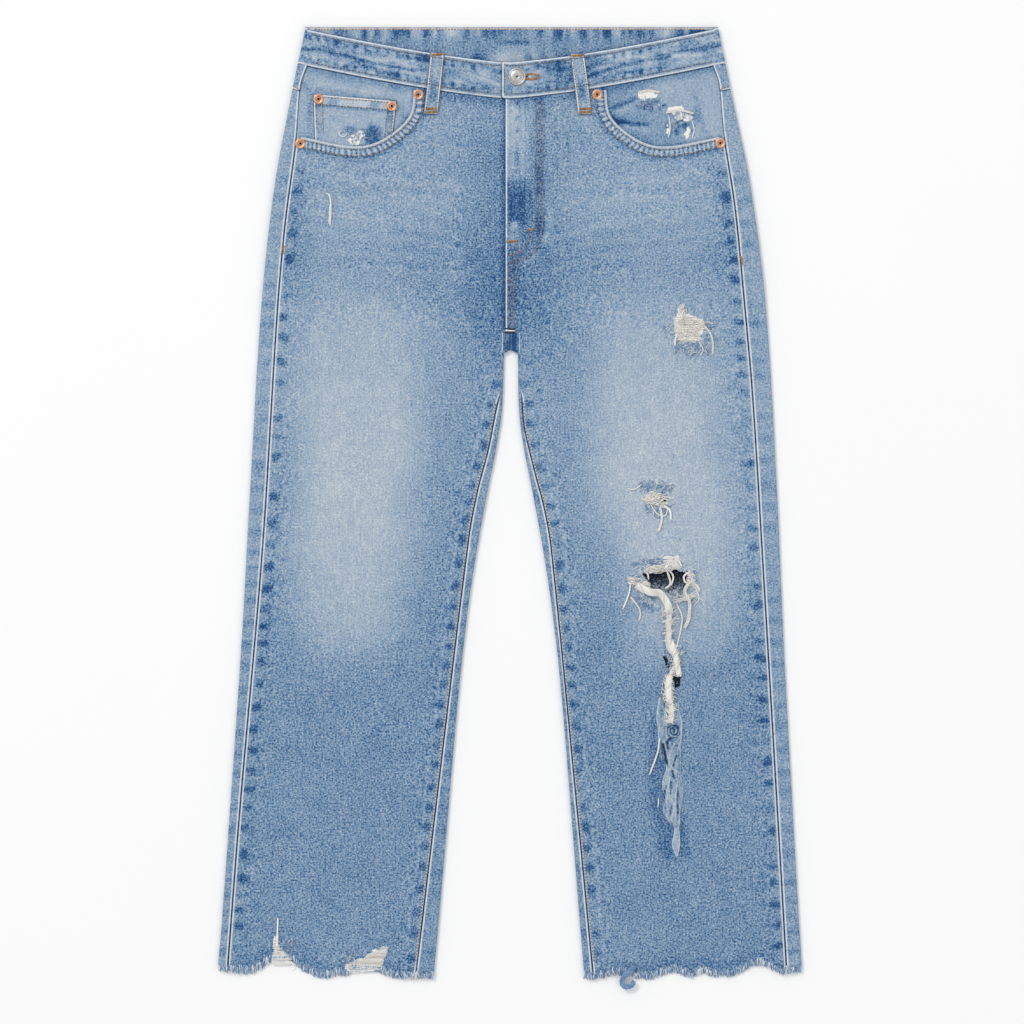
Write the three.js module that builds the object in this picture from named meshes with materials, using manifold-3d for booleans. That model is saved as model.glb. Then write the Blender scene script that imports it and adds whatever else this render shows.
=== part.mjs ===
// Cropped, ripped five-pocket jeans, laid flat on a surface with the front up.
// Millimetres, +Z up. The waist is toward +Y, the hems toward -Y, and the
// wearer's left side is at +X. Everything rests on z = 0.
import * as THREE from 'three';
import { mergeVertices } from 'three/addons/utils/BufferGeometryUtils.js';
import Module from 'manifold-3d';

const wasm = await Module();
wasm.setup();

// ---------------------------------------------------------------- dimensions

const WALL = 1.2;            // one layer of denim
const GAP = 0.3;             // between pieces, at seams and between layers
const FOLD = 5.0;            // height of a side fold, from its lower to its upper face
const BEND = FOLD / 2;       // outer radius of a side fold
const LIFT = WALL + GAP;     // the seat lies on the back pockets and back belt loops
const TOP = LIFT + FOLD;     // upper face of the waistband and of the folds at the seat
const HEM_Y = -474;
const WAIST_Y = 474;
const CROTCH_Y = 149.5;      // lower edge of the crotch, between the legs
const FORK_Y = 168.5;        // where both inseams meet the fly
const SEAT_LOW_Y = 216;      // above this the whole seat is lifted
const SEAM_TO_FOLD = 0.8;    // least flat cloth between an inseam and the inner fold
const CUT_LOW = -5;          // cutters run from below the cloth to above it
const CUT_HEIGHT = 30;

const BAND_HEIGHT = 37;
const BAND_WALL = 2.0;       // the waistband is two layers of denim
const BAND_DIP = 35;         // how far the front of the band hangs below its ends
const BAND_HALF = 212;       // half of the band's lower edge, laid flat
const BAND_CORNER_X = 202;   // where the outseams meet the band
const BAND_UNDER_END_X = 20;
const BAND_OVER_END_X = -8.5;
const BAND_OVER_RISE = 3.2;  // the buttonhole end lies on the button end
const BAND_OVER_RAMP = [60, 28];

const FLY_OVER_X = -5;       // edge of the left front, which laps over the right one
const FLY_UNDER_X = 1;       // edge of the right front, under it
const FLY_END_Y = 235;
const SHIELD_WALL = 1.0;
const ZIP_WALL = 1.2;

const BUTTON = { x: 7, y: 424, radius: 8.75, shank: 2.5, foot: 4.5 };
const BUTTONHOLE = { eye: 3.1, slot: 1.6, reach: 19 };
const LOOP = { width: 14, wall: 1.5 };
const RIVET = { radius: 5.2, height: 1.1 };

// Edges of each leg as [y, distance from the centre line], from hem to waist.
const RIGHT_LEG = {
  sign: -1,
  side: [[-474, 292], [-148, 269], [12, 260], [192, 249], [312, 236], [405, 219], [474, 204.5]],
  outseam: [[-474, 283], [-318, 271], [-46, 247.5], [185, 233], [276, 225], [360, 214],
    [416, 209], [437, 202]],
  inner: [[-474, 76], [-348, 65], [-188, 51], [-108, 42], [-48, 33], [12, 22], [52, 14],
    [92, 8], [149.5, 6]],
  inseam: [[-474, 94], [-318, 75.5], [-36, 41], [12, 32], [50, 22], [88, 14.5], [120, 8],
    [168.5, 8]],
};
const LEFT_LEG = {
  sign: 1,
  side: [[-474, 292], [-148, 274], [12, 267], [192, 256], [312, 241], [405, 222], [474, 208]],
  outseam: [[-474, 277], [-318, 268], [-46, 252], [108, 242.5], [214, 233], [294, 225],
    [372, 213], [418, 208.5], [437, 202]],
  inner: [[-474, 74], [-348, 64], [-188, 51], [-108, 42], [-48, 33], [12, 22], [52, 14],
    [92, 9], [149.5, 8]],
  inseam: [[-474, 83], [-318, 68], [-46, 41], [-6, 34], [32, 24], [80, 13], [122, 8],
    [168.5, 8]],
};

// Front pocket opening, from the waistband down and out to the outseam.
const SCOOP = [[96, 411], [99, 388], [113, 371], [137, 357], [163, 355], [209, 364]];
const SCOOP_CUT_X = 250;     // the opening's cutter reaches past the side and the waist
const SCOOP_CUT_Y = 460;

// Worn-away bites in the raw hems: centre x, half width, depth above the hem.
const RIGHT_BITES = [[-228, 20, 17], [-147, 18, 7]];
const LEFT_BITES = [[161, 9, 6], [248, 10, 9]];
const HEM_TEAR = { x: -233, width: 6, top: -416 };

// The open rip at the left knee.
const KNEE_RIP = [[130, -84], [137, -71], [156, -69], [174, -70], [180, -78], [176, -89],
  [158, -92], [141, -90]];

// Rows of the leg panels from hem to waist, closer where the shape turns.
const ROWS = [-474, -430, -380, -325, -270, -215, -160, -105, -50, 5, 50, 90, 122,
  CROTCH_Y, 153, FORK_Y, 190, SEAT_LOW_Y, 250, 285, 315, 340, 360, 382, 403];
const YOKE_SEAM = { centre: 366, side: 413, front: 409 };

// ------------------------------------------------------------------ materials

const cloth = (colour) => new THREE.MeshStandardMaterial({ color: colour, roughness: 0.92 });
const metal = (colour) => new THREE.MeshStandardMaterial({
  color: colour, roughness: 0.35, metalness: 1,
});
const DENIM_FRONT = cloth(0x8fa9c4);
const DENIM_BACK = cloth(0x7f9bb9);
const DENIM_BAND = cloth(0x88a5c3);
const DENIM_TRIM = cloth(0x96aec6);
const DENIM_POCKET = cloth(0xa3b8cc);
const WEFT = cloth(0xe9e5da);
const TAPE = cloth(0xb9ae98);
const NICKEL = metal(0xb4b2ac);
const COPPER = metal(0xb07a5a);

const garment = new THREE.Group();

function addPiece(name, geometry, material) {
  const mesh = new THREE.Mesh(geometry, material);
  mesh.name = name;
  garment.add(mesh);
}

// -------------------------------------------------------------------- helpers

const mix = (a, b, t) => a + (b - a) * t;

/** 0 at or before `from`, 1 at or past `to`, smooth between; `to` may be the lower one. */
function ramp(value, from, to) {
  const t = THREE.MathUtils.clamp((value - from) / (to - from), 0, 1);
  return t * t * (3 - 2 * t);
}

/** A smooth function through [position, value] pairs with rising positions. */
function through(pairs) {
  const last = pairs.length - 1;
  const slope = pairs.map((pair, k) => {
    const before = pairs[Math.max(k - 1, 0)];
    const after = pairs[Math.min(k + 1, last)];
    return (after[1] - before[1]) / (after[0] - before[0]);
  });
  return (position) => {
    let k = 0;
    while (k < last - 1 && position > pairs[k + 1][0]) k += 1;
    const span = pairs[k + 1][0] - pairs[k][0];
    const t = (position - pairs[k][0]) / span;
    const s = 1 - t;
    return s * s * (1 + 2 * t) * pairs[k][1] + t * t * (3 - 2 * t) * pairs[k + 1][1]
      + s * s * t * span * slope[k] - t * t * s * span * slope[k + 1];
  };
}

/**
 * A closed wall from a grid. place(row, column) gives its outer and its inner point, and
 * keep(row, column) says which cells exist, so that a wall can have steps in its outline.
 */
function wallFromGrid(rows, columns, place, keep = () => true) {
  const points = [];
  const index = new Map();
  const corner = (side, row, column) => {
    const key = `${side},${row},${column}`;
    if (!index.has(key)) {
      index.set(key, points.length / 3);
      points.push(...place(row, column)[side].toArray());
    }
    return index.get(key);
  };
  const faces = [];
  const quad = (a, b, c, d) => faces.push(a, b, c, a, c, d);
  const exists = (row, column) => row >= 0 && column >= 0 && row < rows - 1
    && column < columns - 1 && keep(row, column);
  const rim = (r0, c0, r1, c1) => quad(
    corner(0, r1, c1), corner(0, r0, c0), corner(1, r0, c0), corner(1, r1, c1));
  for (let row = 0; row < rows - 1; row += 1) {
    for (let column = 0; column < columns - 1; column += 1) {
      if (!exists(row, column)) continue;
      const around = [[row, column], [row, column + 1], [row + 1, column + 1],
        [row + 1, column]];
      quad(...around.map(([r, c]) => corner(0, r, c)));
      quad(...around.map(([r, c]) => corner(1, r, c)).reverse());
      const outside = [[row - 1, column], [row, column + 1], [row + 1, column],
        [row, column - 1]];
      outside.forEach(([r, c], k) => {
        if (!exists(r, c)) rim(...around[k], ...around[(k + 1) % 4]);
      });
    }
  }
  const geometry = new THREE.BufferGeometry();
  geometry.setAttribute('position', new THREE.Float32BufferAttribute(points, 3));
  geometry.setIndex(faces);
  return facingOut(geometry);
}

/** Six times the volume is the sum of the faces' determinants: negative means inside out. */
function facingOut(geometry) {
  const p = geometry.getAttribute('position');
  const index = geometry.getIndex();
  const corner = [new THREE.Vector3(), new THREE.Vector3(), new THREE.Vector3()];
  let volume = 0;
  for (let k = 0; k < index.count; k += 3) {
    corner.forEach((v, n) => v.fromBufferAttribute(p, index.getX(k + n)));
    volume += corner[0].dot(corner[1].clone().cross(corner[2]));
  }
  if (volume < 0) {
    for (let k = 0; k < index.count; k += 3) {
      const swap = index.getX(k);
      index.setX(k, index.getX(k + 1));
      index.setX(k + 1, swap);
    }
  }
  return geometry;
}

function toSolid(geometry) {
  const bare = geometry.clone();
  bare.deleteAttribute('normal');
  bare.deleteAttribute('uv');
  const merged = mergeVertices(bare, 1e-4);
  return new wasm.Manifold(new wasm.Mesh({
    numProp: 3,
    vertProperties: new Float32Array(merged.getAttribute('position').array),
    triVerts: new Uint32Array(merged.getIndex().array),
  }));
}

function cutBy(geometry, cutters) {
  let solid = toSolid(geometry);
  for (const cutter of cutters) solid = solid.subtract(toSolid(cutter));
  const mesh = solid.getMesh();
  const result = new THREE.BufferGeometry();
  result.setAttribute('position', new THREE.Float32BufferAttribute(mesh.vertProperties, 3));
  result.setIndex([...mesh.triVerts]);
  return result;
}

/** A flat plate of an outline, from z = bottom up to bottom + height. */
function plate(outline, bottom, height) {
  const shape = new THREE.Shape(outline.map(([x, y]) => new THREE.Vector2(x, y)));
  const geometry = new THREE.ExtrudeGeometry(shape, { depth: height, bevelEnabled: false });
  return geometry.translate(0, 0, bottom);
}

const mirrored = (outline, sign) => outline.map(([x, y]) => [sign * x, y]);

// ------------------------------------------------------------ shared surfaces

/** Height of the back's lower face above the surface it lies on. */
const lift = (y) => LIFT * ramp(y, CROTCH_Y, SEAT_LOW_Y);

/** Lower edge of the front waistband; its upper edge is one band height above. */
const bandLow = (x) => 402 + BAND_DIP * (Math.abs(x) / BAND_HALF) ** 1.3;

function edgesOf(leg) {
  const side = through(leg.side);
  const outseam = through(leg.outseam);
  const innerCurve = through(leg.inner);
  const inseamCurve = through(leg.inseam);
  const inner = (y) => (y <= CROTCH_Y ? innerCurve(y) : GAP / 2);
  const inseam = (y) => Math.max(inseamCurve(Math.min(y, FORK_Y)),
    innerCurve(Math.min(y, CROTCH_Y)) + BEND + SEAM_TO_FOLD);
  return { sign: leg.sign, side, outseam, inner, inseam };
}

const RIGHT = edgesOf(RIGHT_LEG);
const LEFT = edgesOf(LEFT_LEG);

// ----------------------------------------------------- back panels and yokes

const BEND_STEPS = 4;
const UNDER_STEPS = 8;

/**
 * Section of the back at height y, as pairs of outer and inner points. It runs from the
 * inseam on top, round the inner fold, along the underside and round the side fold to the
 * outseam on top. With no inner fold the underside starts at the centre back seam.
 */
function backSection(edges, y, hasInnerFold) {
  const low = lift(y);
  const pairs = [];
  const add = (x, z, inX, inZ) => pairs.push([
    new THREE.Vector3(edges.sign * x, y, low + z),
    new THREE.Vector3(edges.sign * inX, y, low + inZ)]);
  const bend = (centre, from, to) => {
    for (let k = 0; k <= BEND_STEPS; k += 1) {
      const angle = mix(from, to, k / BEND_STEPS);
      add(centre + BEND * Math.cos(angle), BEND + BEND * Math.sin(angle),
        centre + (BEND - WALL) * Math.cos(angle), BEND + (BEND - WALL) * Math.sin(angle));
    }
  };
  const innerCentre = edges.inner(y) + BEND;
  const sideCentre = edges.side(y) - BEND;
  add(edges.inseam(y), FOLD, edges.inseam(y), FOLD - WALL);
  bend(innerCentre, Math.PI / 2, Math.PI * 1.5);
  if (!hasInnerFold) {
    const start = pairs[pairs.length - 1];
    start.forEach((point) => point.setX(edges.sign * GAP / 2));
  }
  const underStart = hasInnerFold ? innerCentre : GAP / 2;
  for (let k = 1; k < UNDER_STEPS; k += 1) {
    const x = mix(underStart, sideCentre, k / UNDER_STEPS);
    add(x, 0, x, WALL);
  }
  bend(sideCentre, -Math.PI / 2, Math.PI / 2);
  add(edges.outseam(y), FOLD, edges.outseam(y), FOLD - WALL);
  return pairs;
}

const FIRST_UNDER = BEND_STEPS + 1;
const LAST_UNDER = FIRST_UNDER + UNDER_STEPS;
const BACK_COLUMNS = LAST_UNDER + BEND_STEPS + 2;

/** The yoke seam drops toward the centre back, and a little over the side fold. */
function yokeSeam(column) {
  if (column <= LAST_UNDER) {
    return mix(YOKE_SEAM.centre, YOKE_SEAM.side,
      Math.max(column - FIRST_UNDER, 0) / UNDER_STEPS);
  }
  return mix(YOKE_SEAM.side, YOKE_SEAM.front,
    (column - LAST_UNDER) / (BACK_COLUMNS - 1 - LAST_UNDER));
}

function backPanel(edges, bites) {
  const top = ROWS[ROWS.length - 1];
  const geometry = wallFromGrid(ROWS.length, BACK_COLUMNS, (row, column) => {
    const weight = THREE.MathUtils.clamp((ROWS[row] - SEAT_LOW_Y) / (top - SEAT_LOW_Y), 0, 1);
    const y = ROWS[row] + weight * (yokeSeam(column) - top);
    return backSection(edges, y, ROWS[row] <= FORK_Y)[column];
  }, (row, column) => column >= FIRST_UNDER || ROWS[row + 1] <= FORK_Y);
  return cutBy(geometry, bites.map(hemBite));
}

function backYoke(edges) {
  const rows = 3;
  const geometry = wallFromGrid(rows, BACK_COLUMNS, (row, column) => {
    const atOutseam = column === BACK_COLUMNS - 1;
    const bandEdge = bandLow(atOutseam ? BAND_CORNER_X : BAND_HALF);
    const y = mix(yokeSeam(column) + GAP, bandEdge - GAP, row / (rows - 1));
    return backSection(edges, y, false)[column];
  }, (row, column) => column >= FIRST_UNDER);
  return geometry;
}

function hemBite([x, half, depth]) {
  const outline = [[x - half, HEM_Y + CUT_LOW], [x + half, HEM_Y + CUT_LOW]];
  const steps = 8;
  for (let k = 0; k <= steps; k += 1) {
    const angle = Math.PI * k / steps;
    outline.push([x + half * Math.cos(angle), HEM_Y - 1 + (depth + 1) * Math.sin(angle)]);
  }
  return plate(outline, CUT_LOW, CUT_HEIGHT);
}

addPiece('back_panel_right', backPanel(RIGHT, RIGHT_BITES), DENIM_BACK);
addPiece('back_panel_left', backPanel(LEFT, LEFT_BITES), DENIM_BACK);
addPiece('back_yoke_right', backYoke(RIGHT), DENIM_BACK);
addPiece('back_yoke_left', backYoke(LEFT), DENIM_BACK);

// The pockets lie under the seat, on the surface.
const BACK_POCKET = [[32, 366], [176, 392], [168, 262], [112, 240], [44, 250]];
addPiece('back_pocket_right', plate(mirrored(BACK_POCKET, -1), 0, WALL), DENIM_BACK);
addPiece('back_pocket_left', plate(BACK_POCKET, 0, WALL), DENIM_BACK);

// ------------------------------------------------------- pieces under the front

// Heights above the lifted back: facings, then the coin pocket, then the front panel.
const FACING_LOW = FOLD - 2 * WALL - GAP;
const COIN_LOW = FACING_LOW + WALL + GAP;
const SHIELD_LOW = WALL + GAP;
const ZIP_LOW = SHIELD_LOW + SHIELD_WALL + GAP;
const FLY_LOW = ZIP_LOW + ZIP_WALL + GAP;
const FACING_EDGE_X = 88;
const FACING_END_Y = 345;
const FACING_TUCK = 3;       // how far the facing runs under the outseam
const COIN_END_Y = 348;

/** The facing closes the pocket opening and runs a little under the panels round it. */
function facingOutline(edges) {
  const outline = [];
  const steps = 6;
  for (let k = 0; k <= steps; k += 1) {
    const x = mix(FACING_EDGE_X, BAND_CORNER_X + FACING_TUCK, k / steps);
    outline.push([x, bandLow(x) - GAP]);
  }
  for (const y of [380, FACING_END_Y]) outline.push([edges.outseam(y) + FACING_TUCK, y]);
  outline.push([140, FACING_END_Y], [104, 356], [FACING_EDGE_X, 378]);
  return mirrored(outline, edges.sign);
}

addPiece('pocket_facing_right', plate(facingOutline(RIGHT), LIFT + FACING_LOW, WALL),
  DENIM_POCKET);
addPiece('pocket_facing_left', plate(facingOutline(LEFT), LIFT + FACING_LOW, WALL),
  DENIM_POCKET);

const COIN_POCKET = [[-197, 407.5], [-113, 400.5], [-119, COIN_END_Y], [-195, COIN_END_Y]];
addPiece('coin_pocket', plate(COIN_POCKET, LIFT + COIN_LOW, WALL), DENIM_POCKET);

const FLY_SHIELD = [[-11, 401], [31, 401], [31, 262], [22, 240], [-11, 240]];
addPiece('fly_shield', plate(FLY_SHIELD, LIFT + SHIELD_LOW, SHIELD_WALL), DENIM_TRIM);
const ZIP = [[-7, 400], [17, 400], [17, 245], [-7, 245]];
addPiece('zip', plate(ZIP, LIFT + ZIP_LOW, ZIP_WALL), TAPE);

// ---------------------------------------------------------------- front panels

const REST_LOW = WALL + 1.0;        // the front lies 1 mm above the back
const SEAM_LOW = FOLD - WALL;       // and rises to the folds at both seams
const SEAM_RUN = 34;

// Where the front rises over what lies under it: from its own level to the full rise.
const POCKET_END = [297, 319];
const FACING_SIDE = [58, 83];
const COIN_INNER = [88, 108];
const COIN_OUTER = [208, 200.5];
const COIN_TOP = [393, 373];
const ZIP_END = [205, FLY_END_Y];
const FLY_SIDE = [66, 40];
const FLY_FORK = [120, 158];

// Soft folds that cross the hips and thighs: middle x and y, run, tilt and height.
const FOLDS = [
  { x: 150, y: 286, run: 80, tilt: 0.16, height: 0.9 },
  { x: 110, y: 226, run: 70, tilt: -0.3, height: 0.8 },
  { x: 170, y: 60, run: 60, tilt: 0.9, height: 0.7 },
];
const FOLD_SPREAD = 13;

function softFolds(x, y) {
  let height = 0;
  for (const fold of FOLDS) {
    const along = (x - fold.x) * Math.cos(fold.tilt) + (y - fold.y) * Math.sin(fold.tilt);
    const across = (y - fold.y) * Math.cos(fold.tilt) - (x - fold.x) * Math.sin(fold.tilt);
    height += fold.height * Math.exp(-((across / FOLD_SPREAD) ** 2) - (along / fold.run) ** 2);
  }
  return height;
}

/** Height of the front's lower face above the lifted back, x as distance from the centre. */
function frontLow(edges, x, y) {
  const isLeft = edges.sign > 0;
  const layer = WALL + GAP;
  const toSeam = Math.min(edges.outseam(y) - x, y < FORK_Y ? x - edges.inseam(y) : Infinity);
  const seam = (SEAM_LOW - REST_LOW) * ramp(toSeam, SEAM_RUN, 2);
  const pocketRun = ramp(y, ...POCKET_END);
  const overFacing = (SEAM_LOW - REST_LOW) * ramp(x, ...FACING_SIDE) * pocketRun;
  const overZip = FLY_LOW - REST_LOW + (isLeft ? layer : 0);
  const belowZip = SEAM_LOW - REST_LOW - (isLeft ? 0 : layer);
  const overFly = mix(belowZip, overZip, ramp(y, ...ZIP_END)) * ramp(x, ...FLY_SIDE)
    * ramp(y, ...FLY_FORK);
  const overCoin = isLeft ? 0
    : layer * ramp(x, ...COIN_INNER) * ramp(x, ...COIN_OUTER) * pocketRun * ramp(y, ...COIN_TOP);
  return REST_LOW + Math.max(seam, overFacing, overFly) + overCoin + softFolds(x, y);
}

const FRONT_START_X = 14;
const FRONT_COLUMNS = [0, 0.1, 0.22, 0.36, 0.5, 0.64, 0.76, 0.86, 0.93, 0.97, 1];
const FLY_COLUMNS = 2;

/** Where a front panel starts, beside the fly's own columns above the fork. */
function frontStart(edges, y) {
  return y <= FORK_Y ? edges.inseam(y) + GAP
    : mix(edges.inseam(FORK_Y) + GAP, FRONT_START_X, ramp(y, FORK_Y, SEAT_LOW_Y));
}

function frontPoint(edges, flyEdge, row, column) {
  const top = ROWS[ROWS.length - 1];
  const weight = THREE.MathUtils.clamp((ROWS[row] - SEAT_LOW_Y) / (top - SEAT_LOW_Y), 0, 1);
  let y = ROWS[row];
  let x = 0;
  for (let pass = 0; pass < 4; pass += 1) {
    x = column < FLY_COLUMNS
      ? mix(flyEdge, frontStart(edges, y), column / FLY_COLUMNS)
      : mix(frontStart(edges, y), edges.outseam(y) - GAP, FRONT_COLUMNS[column - FLY_COLUMNS]);
    y = ROWS[row] + weight * (bandLow(x) - GAP - top);
  }
  if (ROWS[row] === FORK_Y && column < FLY_COLUMNS) y += GAP;
  const low = lift(y) + frontLow(edges, x, y);
  return [new THREE.Vector3(edges.sign * x, y, low + WALL),
    new THREE.Vector3(edges.sign * x, y, low)];
}

function scoopCutter(sign) {
  const curve = new THREE.SplineCurve(SCOOP.map(([x, y]) => new THREE.Vector2(sign * x, y)));
  const outline = curve.getPoints(14).map((point) => [point.x, point.y]);
  const start = outline[0];
  const end = outline[outline.length - 1];
  outline.push([sign * SCOOP_CUT_X, end[1]], [sign * SCOOP_CUT_X, SCOOP_CUT_Y],
    [start[0], SCOOP_CUT_Y]);
  return plate(outline, 0, CUT_HEIGHT);
}

function frontPanel(edges, flyEdge, cutters) {
  const columns = FRONT_COLUMNS.length + FLY_COLUMNS;
  const geometry = wallFromGrid(ROWS.length, columns,
    (row, column) => frontPoint(edges, flyEdge, row, column),
    (row, column) => column >= FLY_COLUMNS || ROWS[row] >= FORK_Y);
  return cutBy(geometry, cutters);
}

const hemTear = plate([
  [HEM_TEAR.x - HEM_TEAR.width / 2, HEM_Y + CUT_LOW],
  [HEM_TEAR.x + HEM_TEAR.width / 2, HEM_Y + CUT_LOW],
  [HEM_TEAR.x, HEM_TEAR.top]], CUT_LOW, CUT_HEIGHT);

addPiece('front_panel_right', frontPanel(RIGHT, -FLY_UNDER_X,
  [scoopCutter(-1), hemTear, ...RIGHT_BITES.map(hemBite)]), DENIM_FRONT);
addPiece('front_panel_left', frontPanel(LEFT, FLY_OVER_X,
  [scoopCutter(1), plate(KNEE_RIP, CUT_LOW, CUT_HEIGHT), ...LEFT_BITES.map(hemBite)]),
DENIM_FRONT);

// ------------------------------------------------------------------- waistband

const BAND_RIGHT_X = [BAND_UNDER_END_X, 0, -30, -70, -110, -150, -185, -BAND_CORNER_X];
const BAND_BACK_X = [-150, -75, 0, 75, 150];
const BAND_LEFT_X = [BAND_CORNER_X, 185, 150, 110, 75, 58, 42, 28, 10, BAND_OVER_END_X];
const BAND_BENDS = 4;
const BAND_ROWS = 3;

/** One strip, laid as a flat ring: right front, right fold, back, left fold, left front. */
function waistbandStations() {
  const stations = [];
  const front = (x, rise) => stations.push((v) => {
    const y = bandLow(x) + BAND_HEIGHT * v;
    return [new THREE.Vector3(x, y, TOP + rise),
      new THREE.Vector3(x, y, TOP + rise - BAND_WALL)];
  });
  const fold = (edges, from, to) => {
    for (let k = 0; k <= BAND_BENDS; k += 1) {
      const angle = mix(from, to, k / BAND_BENDS);
      stations.push((v) => {
        const y = bandLow(BAND_HALF) + BAND_HEIGHT * v;
        const centre = edges.side(y) - BEND;
        return [BEND, BEND - BAND_WALL].map((radius) => new THREE.Vector3(
          edges.sign * (centre + radius * Math.cos(angle)), y,
          LIFT + BEND + radius * Math.sin(angle)));
      });
    }
  };
  const back = (x) => stations.push((v) => {
    const y = bandLow(BAND_HALF) + BAND_HEIGHT * v;
    return [new THREE.Vector3(x, y, LIFT), new THREE.Vector3(x, y, LIFT + BAND_WALL)];
  });
  BAND_RIGHT_X.forEach((x) => front(x, 0));
  fold(RIGHT, Math.PI / 2, -Math.PI / 2);
  BAND_BACK_X.forEach(back);
  fold(LEFT, -Math.PI / 2, Math.PI / 2);
  BAND_LEFT_X.forEach((x) => front(x, BAND_OVER_RISE * ramp(x, ...BAND_OVER_RAMP)));
  return stations;
}

function buttonhole() {
  const outline = [];
  const steps = 12;
  const { eye, reach } = BUTTONHOLE;
  const slot = BUTTONHOLE.slot / 2;
  const open = Math.asin(slot / eye);
  for (let k = 0; k <= steps; k += 1) {
    const angle = mix(open, Math.PI * 2 - open, k / steps);
    outline.push([BUTTON.x + eye * Math.cos(angle), BUTTON.y + eye * Math.sin(angle)]);
  }
  outline.push([BUTTON.x + reach, BUTTON.y - slot], [BUTTON.x + reach, BUTTON.y + slot]);
  return plate(outline, TOP + GAP, CUT_HEIGHT);
}

const band = waistbandStations();
addPiece('waistband', cutBy(wallFromGrid(band.length, BAND_ROWS,
  (row, column) => band[row](column / (BAND_ROWS - 1))), [buttonhole()]), DENIM_BAND);

// ------------------------------------------------------- loops, button, rivets

function loopOutline(topX, topY, bottomX, bottomY) {
  const half = LOOP.width / 2;
  return [[bottomX - half, bottomY], [bottomX + half, bottomY], [topX + half, topY],
    [topX - half, topY]];
}

addPiece('belt_loop_front_right', plate(loopOutline(-72.5, 448.5, -79, 386.5), TOP + GAP,
  LOOP.wall), DENIM_TRIM);
addPiece('belt_loop_front_left', plate(loopOutline(67, 447.5, 75, 386.5), TOP + GAP,
  LOOP.wall), DENIM_TRIM);
const BACK_LOOPS = { right: -125, centre: 0, left: 125 };
for (const [where, x] of Object.entries(BACK_LOOPS)) {
  addPiece(`belt_loop_back_${where}`, plate(loopOutline(x, WAIST_Y - 1, x, 411), 0, WALL),
    DENIM_TRIM);
}

function turned(profile) {
  const points = profile.map(([radius, z]) => new THREE.Vector2(radius, z));
  return new THREE.LatheGeometry(points, 28).rotateX(Math.PI / 2);
}

/** The shank stands on the button end of the band and comes up through the buttonhole. */
function button() {
  const foot = TOP + GAP;
  const cap = TOP + BAND_OVER_RISE + GAP;
  const { radius } = BUTTON;
  return turned([[0, foot], [BUTTON.foot, foot], [BUTTON.foot, foot + 0.5],
    [BUTTON.shank, foot + 0.7], [BUTTON.shank, cap], [radius - 0.6, cap], [radius, cap + 0.6],
    [radius, cap + 1.4], [radius - 0.9, cap + 2.1], [radius - 2, cap + 1.8],
    [radius - 5, cap + 2.2], [0, cap + 2.3]]).translate(BUTTON.x, BUTTON.y, 0);
}

addPiece('button', button(), NICKEL);

// Each as [x, y, rise], where the cloth under a side rivet slopes up a little.
const RIVETS = {
  scoop_right: [-91.5, 406.5, 0], side_right: [-209.5, 357.5, 0.3],
  coin_outer: [-191.3, 402, 0], coin_inner: [-118, 395, 0],
  scoop_left: [87, 406.5, 0], side_left: [210, 358, 0.3],
};
for (const [where, [x, y, rise]] of Object.entries(RIVETS)) {
  const { radius, height } = RIVET;
  const low = TOP + GAP + rise;
  addPiece(`rivet_${where}`, turned([[0, low], [radius - 0.4, low], [radius, low + 0.4],
    [radius - 0.5, low + height], [radius - 2.6, low + height - 0.3],
    [0, low + height + 0.4]]).translate(x, y, 0), COPPER);
}

// -------------------------------------------------------------- torn threads

/** A loose, flattened bundle with an oval section; stations are [x, y, half width, height]. */
function bundle(stations, low) {
  const sides = 8;
  const points = [];
  const faces = [];
  for (const [x, y, half, height] of stations) {
    for (let k = 0; k < sides; k += 1) {
      const angle = 2 * Math.PI * k / sides;
      points.push(x + half * Math.cos(angle), y, low + height / 2 * (1 + Math.sin(angle)));
    }
  }
  const last = (stations.length - 1) * sides;
  for (let row = 0; row < last; row += sides) {
    for (let k = 0; k < sides; k += 1) {
      const next = (k + 1) % sides;
      faces.push(row + k, row + next, row + sides + next, row + k, row + sides + next,
        row + sides + k);
    }
  }
  for (let k = 1; k < sides - 1; k += 1) {
    faces.push(0, k + 1, k, last, last + k, last + k + 1);
  }
  const geometry = new THREE.BufferGeometry();
  geometry.setAttribute('position', new THREE.Float32BufferAttribute(points, 3));
  geometry.setIndex(faces);
  return facingOut(geometry);
}

const ON_LEG = REST_LOW + WALL + GAP;

addPiece('torn_strip', bundle([
  [164, -160, 4, 2.5], [163, -178, 5, 3], [158.5, -198, 6, 3], [160, -216, 10, 3.5],
  [159.5, -240, 13, 4], [160, -268, 12.5, 4], [162, -298, 10.5, 4], [164, -320, 8.5, 4],
  [167, -327, 3.5, 3.5], [167, -338, 6.5, 3], [167, -346, 6, 2.5], [167, -355, 1.5, 2]],
ON_LEG), DENIM_TRIM);
addPiece('torn_yarns', bundle([
  [160, -98, 6, 2.5], [159, -108, 3.2, 2.6], [159.5, -120, 2.8, 2.6], [159, -138, 2.6, 2.6],
  [161, -156, 2.2, 2.4]], ON_LEG), WEFT);

export default garment;
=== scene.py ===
import math

import bpy
import numpy as np
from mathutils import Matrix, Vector
from mathutils.bvhtree import BVHTree


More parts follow.
